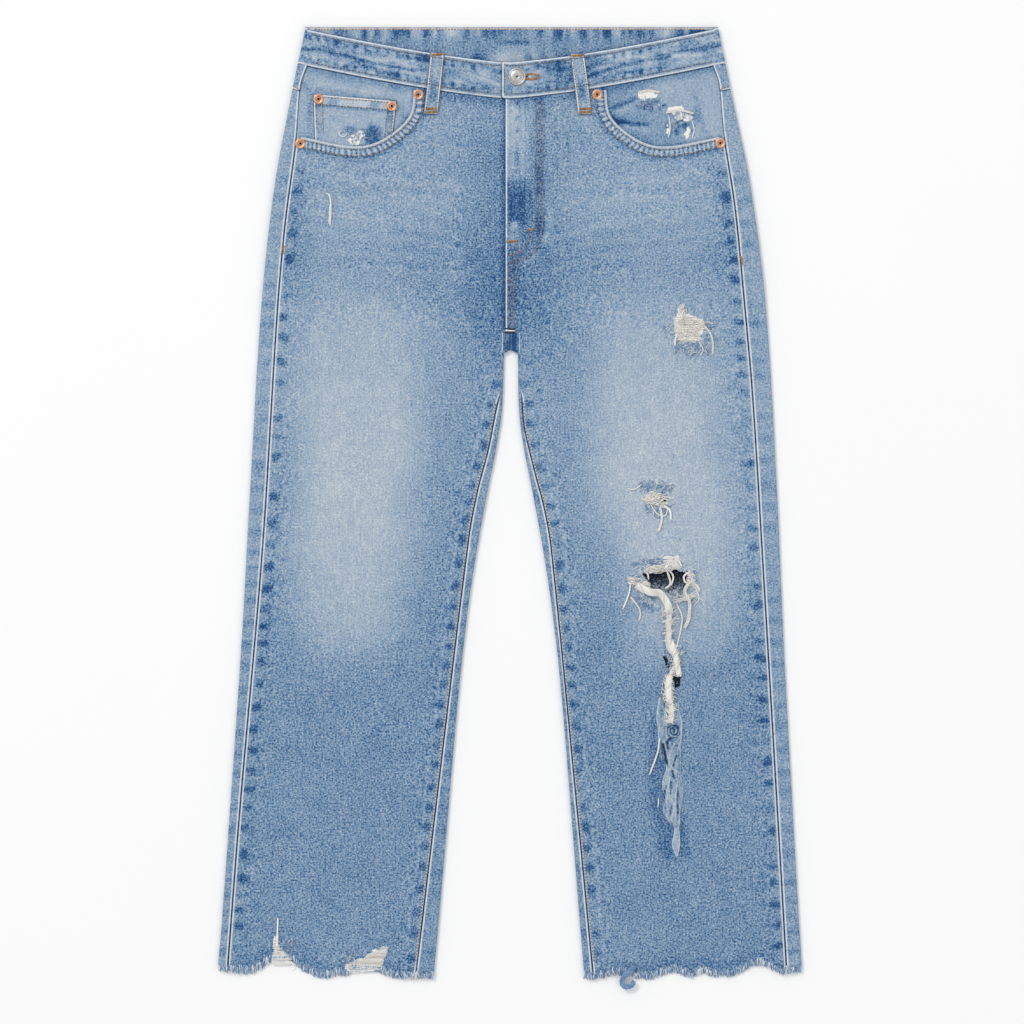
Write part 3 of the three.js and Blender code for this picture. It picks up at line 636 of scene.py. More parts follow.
def build_front(which):
    leg = LEGS[which]
    sign = leg.sign
    fly_edge = FLY_OVER_X if sign > 0 else -FLY_UNDER_X
    rows = front_rows(which)[:, None]
    fractions = front_fractions(which)
    fly_part = np.array([0, 0.06, 0.14, 0.28, 0.44, 0.62, 0.8])
    weight = clamp((rows - SEAT_LOW_Y) / (PANEL_TOP_Y - SEAT_LOW_Y))
    near = np.array(EDGE_STEPS)
    y = np.repeat(rows, len(fly_part) + len(fractions) + 2 * len(near), 1)
    hem_weight = clamp((HEM_BEND_Y - rows) / (HEM_BEND_Y - HEM_Y))
    for _ in range(5):
        start = np.where(y <= FORK_Y, leg.front_inseam(y) + GAP,
                         leg.inseam(FORK_Y) + GAP + (14 - leg.inseam(FORK_Y) - GAP)
                         * ramp(y, FORK_Y, SEAT_LOW_Y))
        end = leg.outseam(y) - GAP
        width = end - start - 2 * SEAM_BAND
        n = len(fly_part)
        x = np.empty_like(y)
        x[:, :n] = fly_edge + (start[:, :n] - fly_edge) * fly_part
        x[:, n:n + len(near)] = start[:, n:n + len(near)] + near
        middle = slice(n + len(near), n + len(near) + len(fractions))
        x[:, middle] = start[:, middle] + SEAM_BAND + width[:, middle] * fractions
        last = slice(n + len(near) + len(fractions), None)
        x[:, last] = end[:, last] - near[::-1]
        woven_edge = leg.hem(sign * x) + FRINGE
        y = rows + weight * (band_low(x) - GAP - PANEL_TOP_Y) + hem_weight * (woven_edge - HEM_Y)
    y[:, :n] += GAP * (np.abs(rows - FORK_Y) < 2)
    keep = np.ones((y.shape[0] - 1, y.shape[1] - 1), dtype=bool)
    keep[:, :n] &= (rows[:-1] >= FORK_Y - 1)
    signed = sign * x

    holes = []
    if which == "left":
        for k, outline in enumerate(KNEE_HOLES):
            torn = ragged(np.array(outline, dtype=float), 60 + k, 1.1 if k == 0 else 0.6)
            snap_to(signed, y, torn, 1.1)
            holes.append(torn)
    x = sign * signed
    middle_x = (signed[:-1, :-1] + signed[1:, 1:] + signed[1:, :-1] + signed[:-1, 1:]) / 4
    middle_y = (y[:-1, :-1] + y[1:, 1:] + y[1:, :-1] + y[:-1, 1:]) / 4
    for torn in holes:
        keep &= ~inside(middle_x, middle_y, [tuple(p) for p in torn])
    curve = scoop_curve(sign)
    opening = [*map(tuple, curve), (sign * 260, curve[-1][1]), (sign * 260, 470),
               (curve[0][0], 470)]
    cut = inside(middle_x, middle_y, opening)
    to_curve, _ = near_line(middle_x, middle_y, curve)
    keep &= ~(cut | ((to_curve < 2.5) & (np.abs(middle_x) > 92)))

    # relief, kept small so that the panel stays clear of what lies under it
    inn, out = x - start, end - x
    fly_zone = y > FORK_Y
    to_edge = np.where(fly_zone, np.minimum(out, x - fly_edge), np.minimum(inn, out))
    seed = 3 if sign < 0 else 9
    z = front_low(leg, x, y) + WALL
    z = z + 0.35 * fractal(x, y, 38, seed) * ramp(to_edge, 4, 30)
    puckers = (roping(y, seed + 1) * ramp(out, 16, 8) * ramp(out, 1, 4)
               + roping(y, seed + 2) * ramp(inn, 13, 6) * ramp(inn, 1, 4) * ~fly_zone)
    z = z + 0.55 * puckers * ramp(y, 345, 320)
    z = z - 0.9 * ramp(to_edge, 1.2, 0.0) + 0.35 * np.exp(-((to_edge - 2.2) / 1.2) ** 2)
    for k, line in enumerate(WHISKERS):
        away, _ = near_line(x, y, line)
        z = z + 0.28 * np.exp(-((away / 4) ** 2))
    if which == "left":
        z = z + 4.0 * np.exp(-((signed - 155) / 20) ** 2) * ramp(y, -24, -64) * ramp(y, -80, -72)
        z = z + 1.0 * spot(signed, y, 182, 160, 22, 12, 0.6)
        z = z + 1.2 * spot(signed, y, 147, 14, 18, 8, 0.6)
        z = z + 1.0 * spot(signed, y, 138, -97, 16, 12, 0.6)
    z = z + 0.5 * noise(signed, y, 6, 77) * ramp(y, HEM_Y + 26, HEM_Y + 12)
    to_opening, _ = near_line(signed, y, curve)
    z = z - 0.5 * ramp(to_opening, 12, 9) * (np.abs(signed) > 80)
    z = z + 0.5 * np.exp(-(((x - fly_edge) - 1.8) / 1.4) ** 2) * (sign > 0) * fly_zone

    tone = wash_front(leg, x, y, start, end)
    if which == "left":
        tone = np.where(signed < 48, fly_wash(signed, y, tone) * ramp(signed, 48, 36)
                        + tone * ramp(signed, 36, 48), tone)
    # painted shade under the waistband, under the knee flap, beside the torn strip and beside the
    # pocket's hem, and worn at the hem
    tone = tone - 0.22 * ramp(y, band_low(x) - 13, band_low(x) - 3)
    if which == "left":
        # painted shadows under the knee flap and to the left of the torn strip
        tone = tone - 0.20 * spot(signed, y, 141, -106, 15, 4.5, 0.6)
        strip = near_line(signed, y, STRIP_LEFT)[0]
        tone = tone - 0.16 * ramp(strip, 19, 9) * ramp(y, -365, -350) * ramp(y, -205, -225)
    # painted shade beside the raised hem of the pocket opening
    tone = tone - 0.16 * ramp(to_opening, 17, 12) * (np.abs(signed) > 80)
    tone = tone - 0.12 * ramp(y, leg.hem(signed) + 21, leg.hem(signed) + 10)
    tone = tone + 0.14 * ramp(y, leg.hem(signed) + 10, leg.hem(signed) + 5)
    tone = tone + 0.3 * ramp(y, leg.hem(signed) + 9, leg.hem(signed) + 7.2) * noise(
        signed, y * 0.2, 1.7, 8)
    bare = np.zeros_like(x)
    for k, patch in enumerate(WHITE_PATCHES[which]):
        box = np.array(patch)
        low, high = box.min(0) - 4, box.max(0) + 4
        r, c = np.nonzero((signed > low[0]) & (signed < high[0]) & (y > low[1]) & (y < high[1]))
        hit = inside(signed[r, c] + 1.1 * noise(signed[r, c], y[r, c], 3, 5),
                     y[r, c] + 1.1 * noise(signed[r, c], y[r, c], 3, 6), patch)
        bare[r, c] = np.maximum(bare[r, c], hit)
    for fx, fy, rx, ry, amount in BLUE_FRAY[which]:
        tone = tone - 0.08 * amount * spot(signed, y, fx, fy, rx, ry, 0.5) + 0.34 * amount * (
            spot(signed, y, fx, fy, rx, ry, 0.5) * ramp(noise(signed, y, 2.6, 12), 0.0, 0.5))

    top = np.stack([signed, y, z], 2)
    low = np.stack([signed, y, z - WALL], 2)
    walls = Walls(f"front_panel_{which}_cloth")
    folded = ramp(y, 106, 118) * ramp(y, FORK_Y + 3, FORK_Y) * (x < 40)
    walls.add(top, low, keep, tone=tone, bare=bare, edge=to_edge + 3 * folded, inner_low=1.0)
    add_scoop_hem(walls, which)
    if which == "left":
        add_knee_flap(walls)
    obj = walls.make()
    measure = flat_size(top, keep)
    return obj, measure


# Light blue tags of cloth that hang from the knee rip: their left and right sides.
KNEE_FLAPS = [
    ([(127, -84), (128, -92), (133, -99), (139, -103)],
     [(146, -91), (150, -96), (151, -101), (150, -106)]),
    ([(150, -98), (151, -106), (152, -112), (151, -121)],
     [(158, -101), (158, -108), (157, -115), (156, -126)]),
]


def add_knee_flap(walls):
    leg = LEGS["left"]
    for k, (left_side, right_side) in enumerate(KNEE_FLAPS):
        grid = plate_grid(left_side, right_side, 26, 26)
        x = grid[..., 0] + 0.6 * noise(grid[..., 0], grid[..., 1], 3, 71 + k)
        y = grid[..., 1] + 0.6 * noise(grid[..., 0], grid[..., 1], 3, 74 + k)
        away = outline_distance(grid)
        z = (front_low(leg, x, y) + WALL + 0.9 + 0.5 * noise(x, y, 5, 76)
             - 0.5 * ramp(away, 1.5, 0))
        tone = 0.78 + 0.22 * noise(x, y, 3.5, 77) + 0.2 * ramp(away, 1.6, 0.4)
        walls.add(np.stack([x, y, z + 0.5], 2), np.stack([x, y, z - 0.5], 2), tone=tone,
                  bare=0.35 * ramp(away, 1.4, 0.2))


def flat_size(grid, keep=None):
    """Width, length and area of a wall's outer face if it were laid out flat, in metres."""
    across = np.linalg.norm(np.diff(grid, axis=1), axis=2)
    along = np.linalg.norm(np.diff(grid, axis=0), axis=2)
    if keep is not None:
        across = across[:-1] * keep
        along = along[:, :-1] * keep
    cell = np.linalg.norm(np.cross(grid[1:, :-1] - grid[:-1, :-1],
                                   grid[:-1, 1:] - grid[:-1, :-1]), axis=2)
    if keep is not None:
        cell = cell * keep
    width = across.sum(1).max() * MM
    length = along.sum(0).max() * MM
    area = min(cell.sum() * MM * MM, 0.999 * width * length)
    return width, length, area


def add_scoop_hem(walls, which):
    """The folded and stitched edge of the front pocket opening."""
    sign = SIDES[which]
    curve = scoop_curve(sign)
    ahead = np.gradient(curve, axis=0)
    ahead /= np.linalg.norm(ahead, axis=1)[:, None]
    outward = np.stack([ahead[:, 1], -ahead[:, 0]], 1) * sign
    reach = np.array([-0.4, 0.0, 0.5, 1.2, 2.0, 3.2, 4.6, 6.0, 7.4, 8.8, 10.0, 10.8, 11.4])
    length = np.r_[0, np.cumsum(np.linalg.norm(np.diff(curve, axis=0), axis=1))]
    flat_x = curve[:, 0:1] + outward[:, 0:1] * -reach
    flat_y = curve[:, 1:2] + outward[:, 1:2] * -reach
    if flat_y[len(curve) // 2, -1] > flat_y[len(curve) // 2, 0]:
        flat_x = curve[:, 0:1] + outward[:, 0:1] * reach
        flat_y = curve[:, 1:2] + outward[:, 1:2] * reach
    # the strip narrows into the waistband and the outseam
    leg = LEGS[which]
    limit = leg.outseam(flat_y) - GAP
    flat_x = sign * np.minimum(sign * flat_x, limit)
    flat_y = np.minimum(flat_y, band_low(flat_x) - GAP)
    along = length[:, None]
    pucker = np.cos(2 * math.pi * (along + 0.15 * reach) / 4.7 + 2.2 * noise(
        along, reach * 0.2, 12, 3 if sign < 0 else 4)) * (0.6 + 0.4 * noise(
            along, reach, 17, 5))
    profile = np.interp(reach, [-0.4, 0.3, 1.4, 3, 5, 8, 10, 11.4],
                        [0.05, 0.95, 1.25, 0.75, 0.9, 0.85, 0.6, 0.0])
    z = front_low(leg, np.abs(flat_x), flat_y) + WALL + profile + 0.15
    z = z + 0.4 * pucker * ramp(reach, 1.5, 4) * ramp(reach, 11, 9)
    low_drop = np.interp(reach, [-0.4, 3, 4, 11.4], [1.2, 1.6, 0.9, 0.35])
    # past the outer stitch row the hem is painted darker, as the shade where it slopes down to the
    # panel
    tone = (0.55 + 0.50 * np.exp(-((reach - 0.8) / 1.0) ** 2)
            - 0.16 * np.exp(-((reach - 3.3) / 0.9) ** 2)
            - 0.30 * ramp(reach, 9.0, 10.4)
            + 0.40 * np.tanh(1.6 * pucker) * ramp(reach, 2.2, 4.2) * ramp(reach, 11, 9.5))
    top = np.stack([flat_x, flat_y, z], 2)
    walls.add(top, np.stack([flat_x, flat_y, z - low_drop], 2), tone=tone)


# --------------------------------------------------------------- back of the legs


def back_section(leg, y, has_inner_fold):
    """The back as a curve of columns at every y: from the inseam round below to the outseam.

    Returns outer and inner grids, and for each column which stretch it belongs to.
    """
    y = np.asarray(y, dtype=float)[:, None]
    base = lift(y)
    inner, side = leg.inner(y) + BEND, leg.side(y) - BEND
    inseam, outseam = leg.inseam(y), leg.outseam(y)
    steps = np.array([0, 0.5, 1.2, 2.2, 3.4, 5.0])
    parts = []

    def flat(start, end, fractions, z, z_in):
        x = start + (end - start) * fractions
        parts.append((x, x, np.full_like(x, z), np.full_like(x, z_in)))

    def bend(centre, start, end, count):
        angle = np.linspace(start, end, count)[None]
        parts.append((centre + BEND * np.cos(angle), centre + (BEND - WALL) * np.cos(angle),
                      np.repeat(BEND + BEND * np.sin(angle), len(y), 0),
                      np.repeat(BEND + (BEND - WALL) * np.sin(angle), len(y), 0)))

    inner_strip = np.r_[steps / 6.5, 1.0][None] if has_inner_fold else np.array([[0, 1.0]])
    flat(inseam, inner, inner_strip[:, :-1], FOLD, FOLD - WALL)
    bend(inner, math.pi / 2, math.pi * 1.5, 9)
    under = spread(0, 1, 1 / 34)[1:-1][None]
    begin = inner if has_inner_fold else np.full_like(inner, GAP / 2)
    flat(begin, side, under, 0.0, WALL)
    bend(side, -math.pi / 2, math.pi / 2, 9)
    strip = np.array([[0.12, 0.25, 0.4, 0.55, 0.7, 0.82, 0.9, 0.95, 0.98, 1.0]])
    flat(side, outseam, strip, FOLD, FOLD - WALL)
    x_out, x_in, z_out, z_in = (np.hstack([p[k] for p in parts]) for k in range(4))
    counts = [p[0].shape[1] for p in parts]
    kind = np.repeat(np.arange(5), counts)
    return x_out, x_in, z_out + base, z_in + base, kind


def yoke_seam(kind):
    """Height of the yoke seam at each column."""
    seam = np.full(len(kind), YOKE_SEAM["centre"])
    under = kind == 2
    seam[under] = np.linspace(YOKE_SEAM["centre"], YOKE_SEAM["side"], under.sum())
    seam[kind >= 3] = np.linspace(YOKE_SEAM["side"], YOKE_SEAM["front"], (kind >= 3).sum())
    return seam


def back_wash(leg, x, y, kind, out):
    """Tone of a back panel; x is signed and out is the distance from the outseam."""
    seed = 51 if leg.sign < 0 else 57
    tone = 0.44 + 0.06 * ramp(y, -250, 100) + 0.05 * fractal(x, y, 18, seed) + 0 * kind
    side_strip = kind >= 3
    tone = tone - np.where(side_strip, 0.16 * roping(y + 4, seed) * ramp(out, 22, 8)
                           * ramp(y, 345, 320), 0)
    tone = tone - np.where(kind <= 1, 0.10 * roping(y + 3, seed + 1), 0)
    tone = tone + np.where(side_strip, 0.05, -0.03)
    # painted shade in the crotch: the inner strips darker where they show between the fronts, and two
    # dark lines for the gaps
    tone = tone - np.where(kind <= 1, 0.26 * ramp(y, 140, 150), 0)
    sides = np.exp(-(((x - 5.0) / 0.9) ** 2)) + 0.8 * np.exp(-(((x - 2.6) / 0.6) ** 2))
    tone = tone - 0.5 * sides * ramp(y, 147, 150)
    return tone


def back_grid(leg, y_of, rows, has_inner_fold):
    """Grids of a back piece whose rows follow y_of(row value, column seam)."""
    _, _, _, _, kind = back_section(leg, rows, has_inner_fold)
    y = y_of(rows[:, None], yoke_seam(kind)[None])
    columns = len(kind)
    grids = [np.empty((len(rows), columns)) for _ in range(4)]
    for c in range(columns):
        section = back_section(leg, y[:, c], has_inner_fold)
        for grid, values in zip(grids, section[:4]):
            grid[:, c] = values[:, c]
    return y, grids, kind


def build_back(which):
    leg = LEGS[which]
    rows = np.concatenate([spread(HEM_Y, FORK_Y, 3.4)[:-1], spread(FORK_Y, PANEL_TOP_Y, 3.4)])

    def y_of(row, seam):
        weight = clamp((row - SEAT_LOW_Y) / (PANEL_TOP_Y - SEAT_LOW_Y))
        return row + weight * (seam - PANEL_TOP_Y)

    y, (x_out, x_in, z_out, z_in), kind = back_grid(leg, y_of, rows, True)
    # above the fork the inner fold ends and the cloth starts at the centre seam
    keep = np.ones((len(rows) - 1, len(kind) - 1), dtype=bool)
    first_under = int(np.argmax(kind == 2)) - 1
    keep[:, :first_under] = (rows[1:] <= FORK_Y + 0.01)[:, None]
    above = rows > FORK_Y + 0.01
    x_out[above, first_under] = x_in[above, first_under] = GAP / 2
    hem_weight = clamp((HEM_BEND_Y - rows) / (HEM_BEND_Y - HEM_Y))[:, None]
    sign = leg.sign
    y = y + hem_weight * (leg.hem(sign * x_out) + FRINGE + 1.0 - HEM_Y)
    seed = 51 if sign < 0 else 57
    out = x_out * 0 + np.abs(leg.outseam(y) - x_out)
    shown = (kind != 2)[None]
    bumps = 0.35 * fractal(x_out, y, 14, seed) * shown * ramp(out, 0.5, 5)
    bumps = bumps + 0.4 * roping(y + 4, seed) * (kind >= 3) * ramp(out, 22, 6) * ramp(out, 0.5, 4)
    dip = 0.8 * ramp(out, 1.0, 0.0) * (kind == 4)
    z_out, z_in = z_out + bumps - dip, z_in + bumps - dip
    bottom = 0.02
    z_out = np.maximum(z_out, bottom)
    inn = np.abs(x_out - leg.inseam(y))
    edge = np.where(kind[None] == 4, out, np.where(kind[None] == 0, inn, 20.0))
    tone = back_wash(leg, sign * x_out, y, kind[None], out)
    tone_in = 0.40 + 0.05 * fractal(x_out, y, 9, seed + 3)
    # painted shade on the inner face seen through the left leg's holes: near black under the knee rip's
    # upper edge, lighter lower down, and dark under the smaller holes
    if which == "left":
        tone_in = tone_in - 0.44 * ramp(y, -99, -70) * ramp(y, -20, -50)
        tone_in = tone_in + 0.18 * ramp(y, -76, -92) * ramp(y, -130, -110)
        tone_in = tone_in - 0.4 * ramp(y, -200, -186) * ramp(y, -148, -160)
        tone_in = tone_in - 0.4 * ramp(y, -14, -5) * ramp(y, 215, 190)
    top = np.stack([sign * x_out, y, z_out], 2)
    low = np.stack([sign * x_in, y, z_in], 2)
    walls = Walls(f"back_panel_{which}_cloth")
    walls.add(top, low, keep, tone=tone, tone_low=tone_in, edge=edge, edge_low=20.0,
              inner_low=1.0)
    return walls.make(), flat_size(top, keep)


def build_yoke(which):
    leg = LEGS[which]
    rows = spread(0, 1, 1 / 14)

    def y_of(row, seam):
        last = np.arange(seam.shape[1]) == seam.shape[1] - 1
        high = np.where(last, band_low(BAND_CORNER_X), band_low(BAND_HALF))
        return seam + GAP + row * (high - GAP - seam - GAP)

    y, (x_out, x_in, z_out, z_in), kind = back_grid(leg, y_of, rows, False)
    keep = np.ones((len(rows) - 1, len(kind) - 1), dtype=bool)
    first_under = int(np.argmax(kind == 2)) - 1
    keep[:, :first_under] = False
    x_out[:, first_under] = x_in[:, first_under] = GAP / 2
    sign = leg.sign
    seam_gap = np.abs(y - yoke_seam(kind)[None])
    edge = np.minimum(seam_gap, np.where(kind[None] == 4, np.abs(leg.outseam(y) - x_out), 20))
    ridge = 0.35 * np.exp(-((seam_gap - 2) / 1.6) ** 2) * (kind >= 3)
    tone = 0.52 + 0.05 * fractal(sign * x_out, y, 14, 71) + 0 * kind
    tone = tone - 0.18 * roping(x_out * 2.2, 6) * ramp(seam_gap, 3, 8)
    top = np.stack([sign * x_out, y, np.maximum(z_out + ridge, 0.02)], 2)
    low = np.stack([sign * x_in, y, z_in], 2)
    walls = Walls(f"back_yoke_{which}_cloth")
    walls.add(top, low, keep, tone=tone, edge=edge, inner_low=1.0)
    return walls.make(), flat_size(top, keep)


# --------------------------------------------------------------- flat cloth plates


def plate_grid(left_side, right_side, rows, columns):
    """A grid between two side curves, each given bottom to top."""
    left_side = resample_to(left_side, rows)
    right_side = resample_to(right_side, rows)
    t = np.linspace(0, 1, columns)[None, :, None]
    return left_side[:, None] * (1 - t) + right_side[:, None] * t


def resample_to(points, count):
    points = np.array(points, dtype=float)
    length = np.r_[0, np.cumsum(np.linalg.norm(np.diff(points, axis=0), axis=1))]
    at = np.linspace(0, length[-1], count)
    return np.stack([np.interp(at, length, points[:, k]) for k in range(2)], 1)


def outline_distance(grid):
    """Distance of every grid point to the plate's outline."""
    loop = np.vstack([grid[0], grid[1:, -1], grid[-1, ::-1][1:], grid[::-1, 0][1:]])
    away, _ = near_line(grid[..., 0], grid[..., 1], loop)
    return away


def build_plate(name, grid, low_z, thick, tone, seed, puff):
    """A sewn flat piece: softly rounded edges, a little swell and a worn outline."""
    away = outline_distance(grid)
    x, y = grid[..., 0], grid[..., 1]
    relief = puff * noise(x, y, 9, seed) * ramp(away, 0, 4) - 0.4 * ramp(away, 1.4, 0)
    low = np.full(x.shape, float(low_z))
    top = np.stack([x, y, low + thick + relief], 2)
    value = tone + 0.05 * fractal(x, y, 12, seed)
    walls = Walls(name)
    walls.add(top, np.stack([x, y, low], 2), tone=value, edge=away)
    return walls.make(), flat_size(top)


FACING_INNER_X = 88.0


def build_facing(which):
    leg = LEGS[which]
    sign = leg.sign
    u = spread(0, 1, 1 / 70)[None]
    v = spread(0, 1, 1 / 42)[:, None]
    grid_x = FACING_INNER_X + (BAND_CORNER_X + 3 - FACING_INNER_X) * u + 0 * v
    for _ in range(4):
        bottom = np.interp(grid_x, [FACING_INNER_X, 104, 140, 205], [378, 356, 345, 345])
        top_y = band_low(grid_x) - GAP
        grid_y = bottom + (top_y - bottom) * v
        grid_x = FACING_INNER_X + (leg.outseam(grid_y) + 3 - FACING_INNER_X) * u
    signed = sign * grid_x
    away = top_y - grid_y
    seed = 81 if sign < 0 else 88
    z = LIFT + FACING_LOW + WALL + 0.25 * fractal(signed, grid_y, 14, seed)
    # painted shade: darker just under the waistband
    tone = 0.63 + 0.08 * fractal(signed, grid_y, 20, seed) - 0.22 * ramp(away, 9, 2)
    if which == "left":
        tone = tone - 0.20 * ramp(signed + 0.8 * (grid_y - 380), 190, 120)
    # the creases are dented and painted dark as the shade in them
    for line, width, depth in FACING_CREASES[which]:
        away_line, _ = near_line(signed, grid_y + 0.8 * noise(signed, grid_y, 9, 83), line)
        dent = np.exp(-(away_line / width) ** 2)
        tone = tone - depth * dent
        z = z - 0.5 * dent * (depth > 0)
    for cx, cy, rx, ry, amount in FACING_FRAY[which]:
        torn = spot(signed, grid_y, cx, cy, rx, ry, 0.4)
        tone = tone + amount * torn * noise(signed, grid_y, 2.4, 84) - 0.12 * torn
    # painted shade beside the raised edge of the pocket opening
    curve = scoop_curve(sign)
    to_curve, _ = near_line(signed, grid_y, curve)
    tone = tone - 0.15 * ramp(to_curve, 5, 0.5)
    bare = np.zeros_like(z)
    patches, darks = FACING_WEAR[which]
    for cx, cy, rx, ry in patches:
        wobble = 1.5 * noise(signed, grid_y, 3, 5)
        hit = spot(signed + wobble, grid_y + wobble, cx, cy, rx, ry, 0.12)
        bare = np.maximum(bare, hit)
        z = z + 0.4 * hit
    for cx, cy, rx, ry, depth in darks:
        tone = tone - depth * spot(signed, grid_y + 1.2 * noise(signed, grid_y, 3, 7), cx, cy,
                                   rx, ry, 0.5)
    grid = np.stack([signed, grid_y, z], 2)
    low = np.stack([signed, grid_y, np.full_like(z, LIFT + FACING_LOW)], 2)
    walls = Walls(f"pocket_facing_{which}_cloth")
    walls.add(grid, low, tone=tone, bare=bare, inner_low=1.0)
    return walls.make(), flat_size(grid)


# White worn spots (middle, radii) and dark blue ones (middle, radii, depth) on the facings.
FACING_WEAR = {
    "left": ([(137, 406, 10.5, 4.2), (165, 391, 8.5, 4.2), (174, 384, 9, 3.6), (157.5, 372, 1.6, 5),
              (177, 368, 1.8, 5)],
             [(138, 396, 13, 4, 0.2), (186, 386, 5, 8, 0.2)]),
    "right": ([], [(-200, 380, 3, 20, 0.15)]),
}
# Creases of the facings: line, width, depth of the painted shade in them (light ones are below 0).
FACING_CREASES = {
    "left": [([(102, 393), (112, 397), (126, 403)], 2.0, 0.32),
             ([(106, 389), (116, 393), (130, 399)], 2.4, -0.14),
             ([(103, 381), (112, 379.5)], 4.2, 0.42), ([(108, 379), (124, 378), (137, 377)], 1.9, 0.42),
             ([(104, 372), (122, 373), (140, 371)], 2.6, -0.14),
             ([(200, 352), (191, 382), (186, 404)], 3.0, 0.16)],
    "right": [([(-206, 418), (-200, 405), (-199, 385)], 3.0, 0.16),
              ([(-204, 411), (-180, 409), (-150, 404), (-118, 400)], 2.4, 0.14),
              ([(-112, 396), (-106, 385), (-104, 374)], 4.5, 0.22),
              ([(-190, 418), (-160, 413), (-130, 408)], 2.2, -0.12)],
}
# Torn blue cloth: middle, radii and how much the tone jumps about.
FACING_FRAY = {"left": [(143, 396, 14, 5, 0.8), (170, 374, 15, 8, 0.6)], "right": []}
# The same on the coin pocket: white spots, then dark ones, painted as the shade round the rip.
COIN_WEAR = ([(-155, 361, 6, 6), (-149, 367, 4, 4)],
             [(-137, 366, 9, 10, 0.5), (-160, 371, 7, 4, 0.3), (-147, 354, 12, 3.5, 0.2)])


def build_coin_pocket():
    left_top, right_top, right_low, left_low = [np.array(p) for p in COIN_POCKET]
    grid = plate_grid([left_low, left_top], [right_low, right_top], 52, 62)
    x, y = grid[..., 0], grid[..., 1]
    sides, _ = near_line(x, y, [left_top, left_low])
    other, _ = near_line(x, y, [right_top, right_low])
    top_edge, _ = near_line(x, y, [left_top, right_top])
    side = np.minimum(sides, other)
    away = np.minimum(side, top_edge)
    hem = ramp(top_edge, 11.5, 9.5)
    pucker = noise(x + 0.7 * top_edge, y * 0.4, 5, 14)
    z = LIFT + COIN_LOW + WALL + 0.25 * hem + 0.2 * pucker * ramp(away, 1, 3) * hem
    z = z - 0.5 * ramp(away, 1.2, 0) + 0.2 * fractal(x, y, 10, 33)
    tone = 0.66 + 0.04 * fractal(x, y, 14, 32) + 0.22 * pucker * hem * ramp(away, 1, 3)
    # painted shade: a dark line along the lower fold of the top hem
    tone = tone - 0.34 * np.exp(-((top_edge - 11.4) / 1.3) ** 2) - 0.10 * ramp(side, 9, 6)
    tone = tone - 0.14 * ramp(noise(x, y, 6, 36), 0.1, 0.5) * ramp(side, 9, 7)
    bare = np.zeros_like(z)
    wobble = 1.6 * noise(x, y, 3, 9)
    for cx, cy, rx, ry in COIN_WEAR[0]:
        bare = np.maximum(bare, spot(x + wobble, y + wobble, cx, cy, rx, ry, 0.12))
    # painted shade round the rip
    for cx, cy, rx, ry, depth in COIN_WEAR[1]:
        tone = tone - depth * spot(x, y + wobble, cx, cy, rx, ry, 0.4)
    z = np.where(y < 373, np.minimum(z, TOP - 0.02), z)
    top = np.stack([x, y, z], 2)
    walls = Walls("coin_pocket_cloth")
    walls.add(top, np.stack([x, y, np.full_like(z, LIFT + COIN_LOW)], 2), tone=tone, bare=bare,
              edge=away, inner_low=1.0)
    return walls.make(), flat_size(top)


# --------------------------------------------------------------------- waistband


# Deep creases along the band with their strength, whose dark is painted shade, then the painted shade
# beside the loops and under the folds: middle, radii, depth.
BAND_CREASES = [
    ([(-212, 452), (-190, 452), (-160, 444), (-130, 437), (-96, 430)], 1.0),
    ([(-168, 436), (-140, 434), (-112, 424)], 0.8),
    ([(-165, 421), (-130, 414), (-100, 409), (-84, 408)], 1.0),
    ([(78, 424), (100, 433), (130, 441), (160, 444)], 0.9),
    ([(148, 446), (180, 451), (212, 456)], 1.0),
    ([(96, 428), (120, 431), (150, 437)], 0.5),
]
BAND_PAINTED_SHADE = [(44, 436, 9, 7, 0.14), (-86, 440, 6, 14, 0.32), (-62, 436, 9, 16, 0.16),
               (82, 438, 7, 15, 0.22), (54, 424, 9, 16, 0.25), (36, 436, 11, 9, 0.14),
               (-130, 413, 36, 4.5, 0.30), (-40, 414, 16, 6, 0.14), (20, 411, 24, 4, 0.14)]


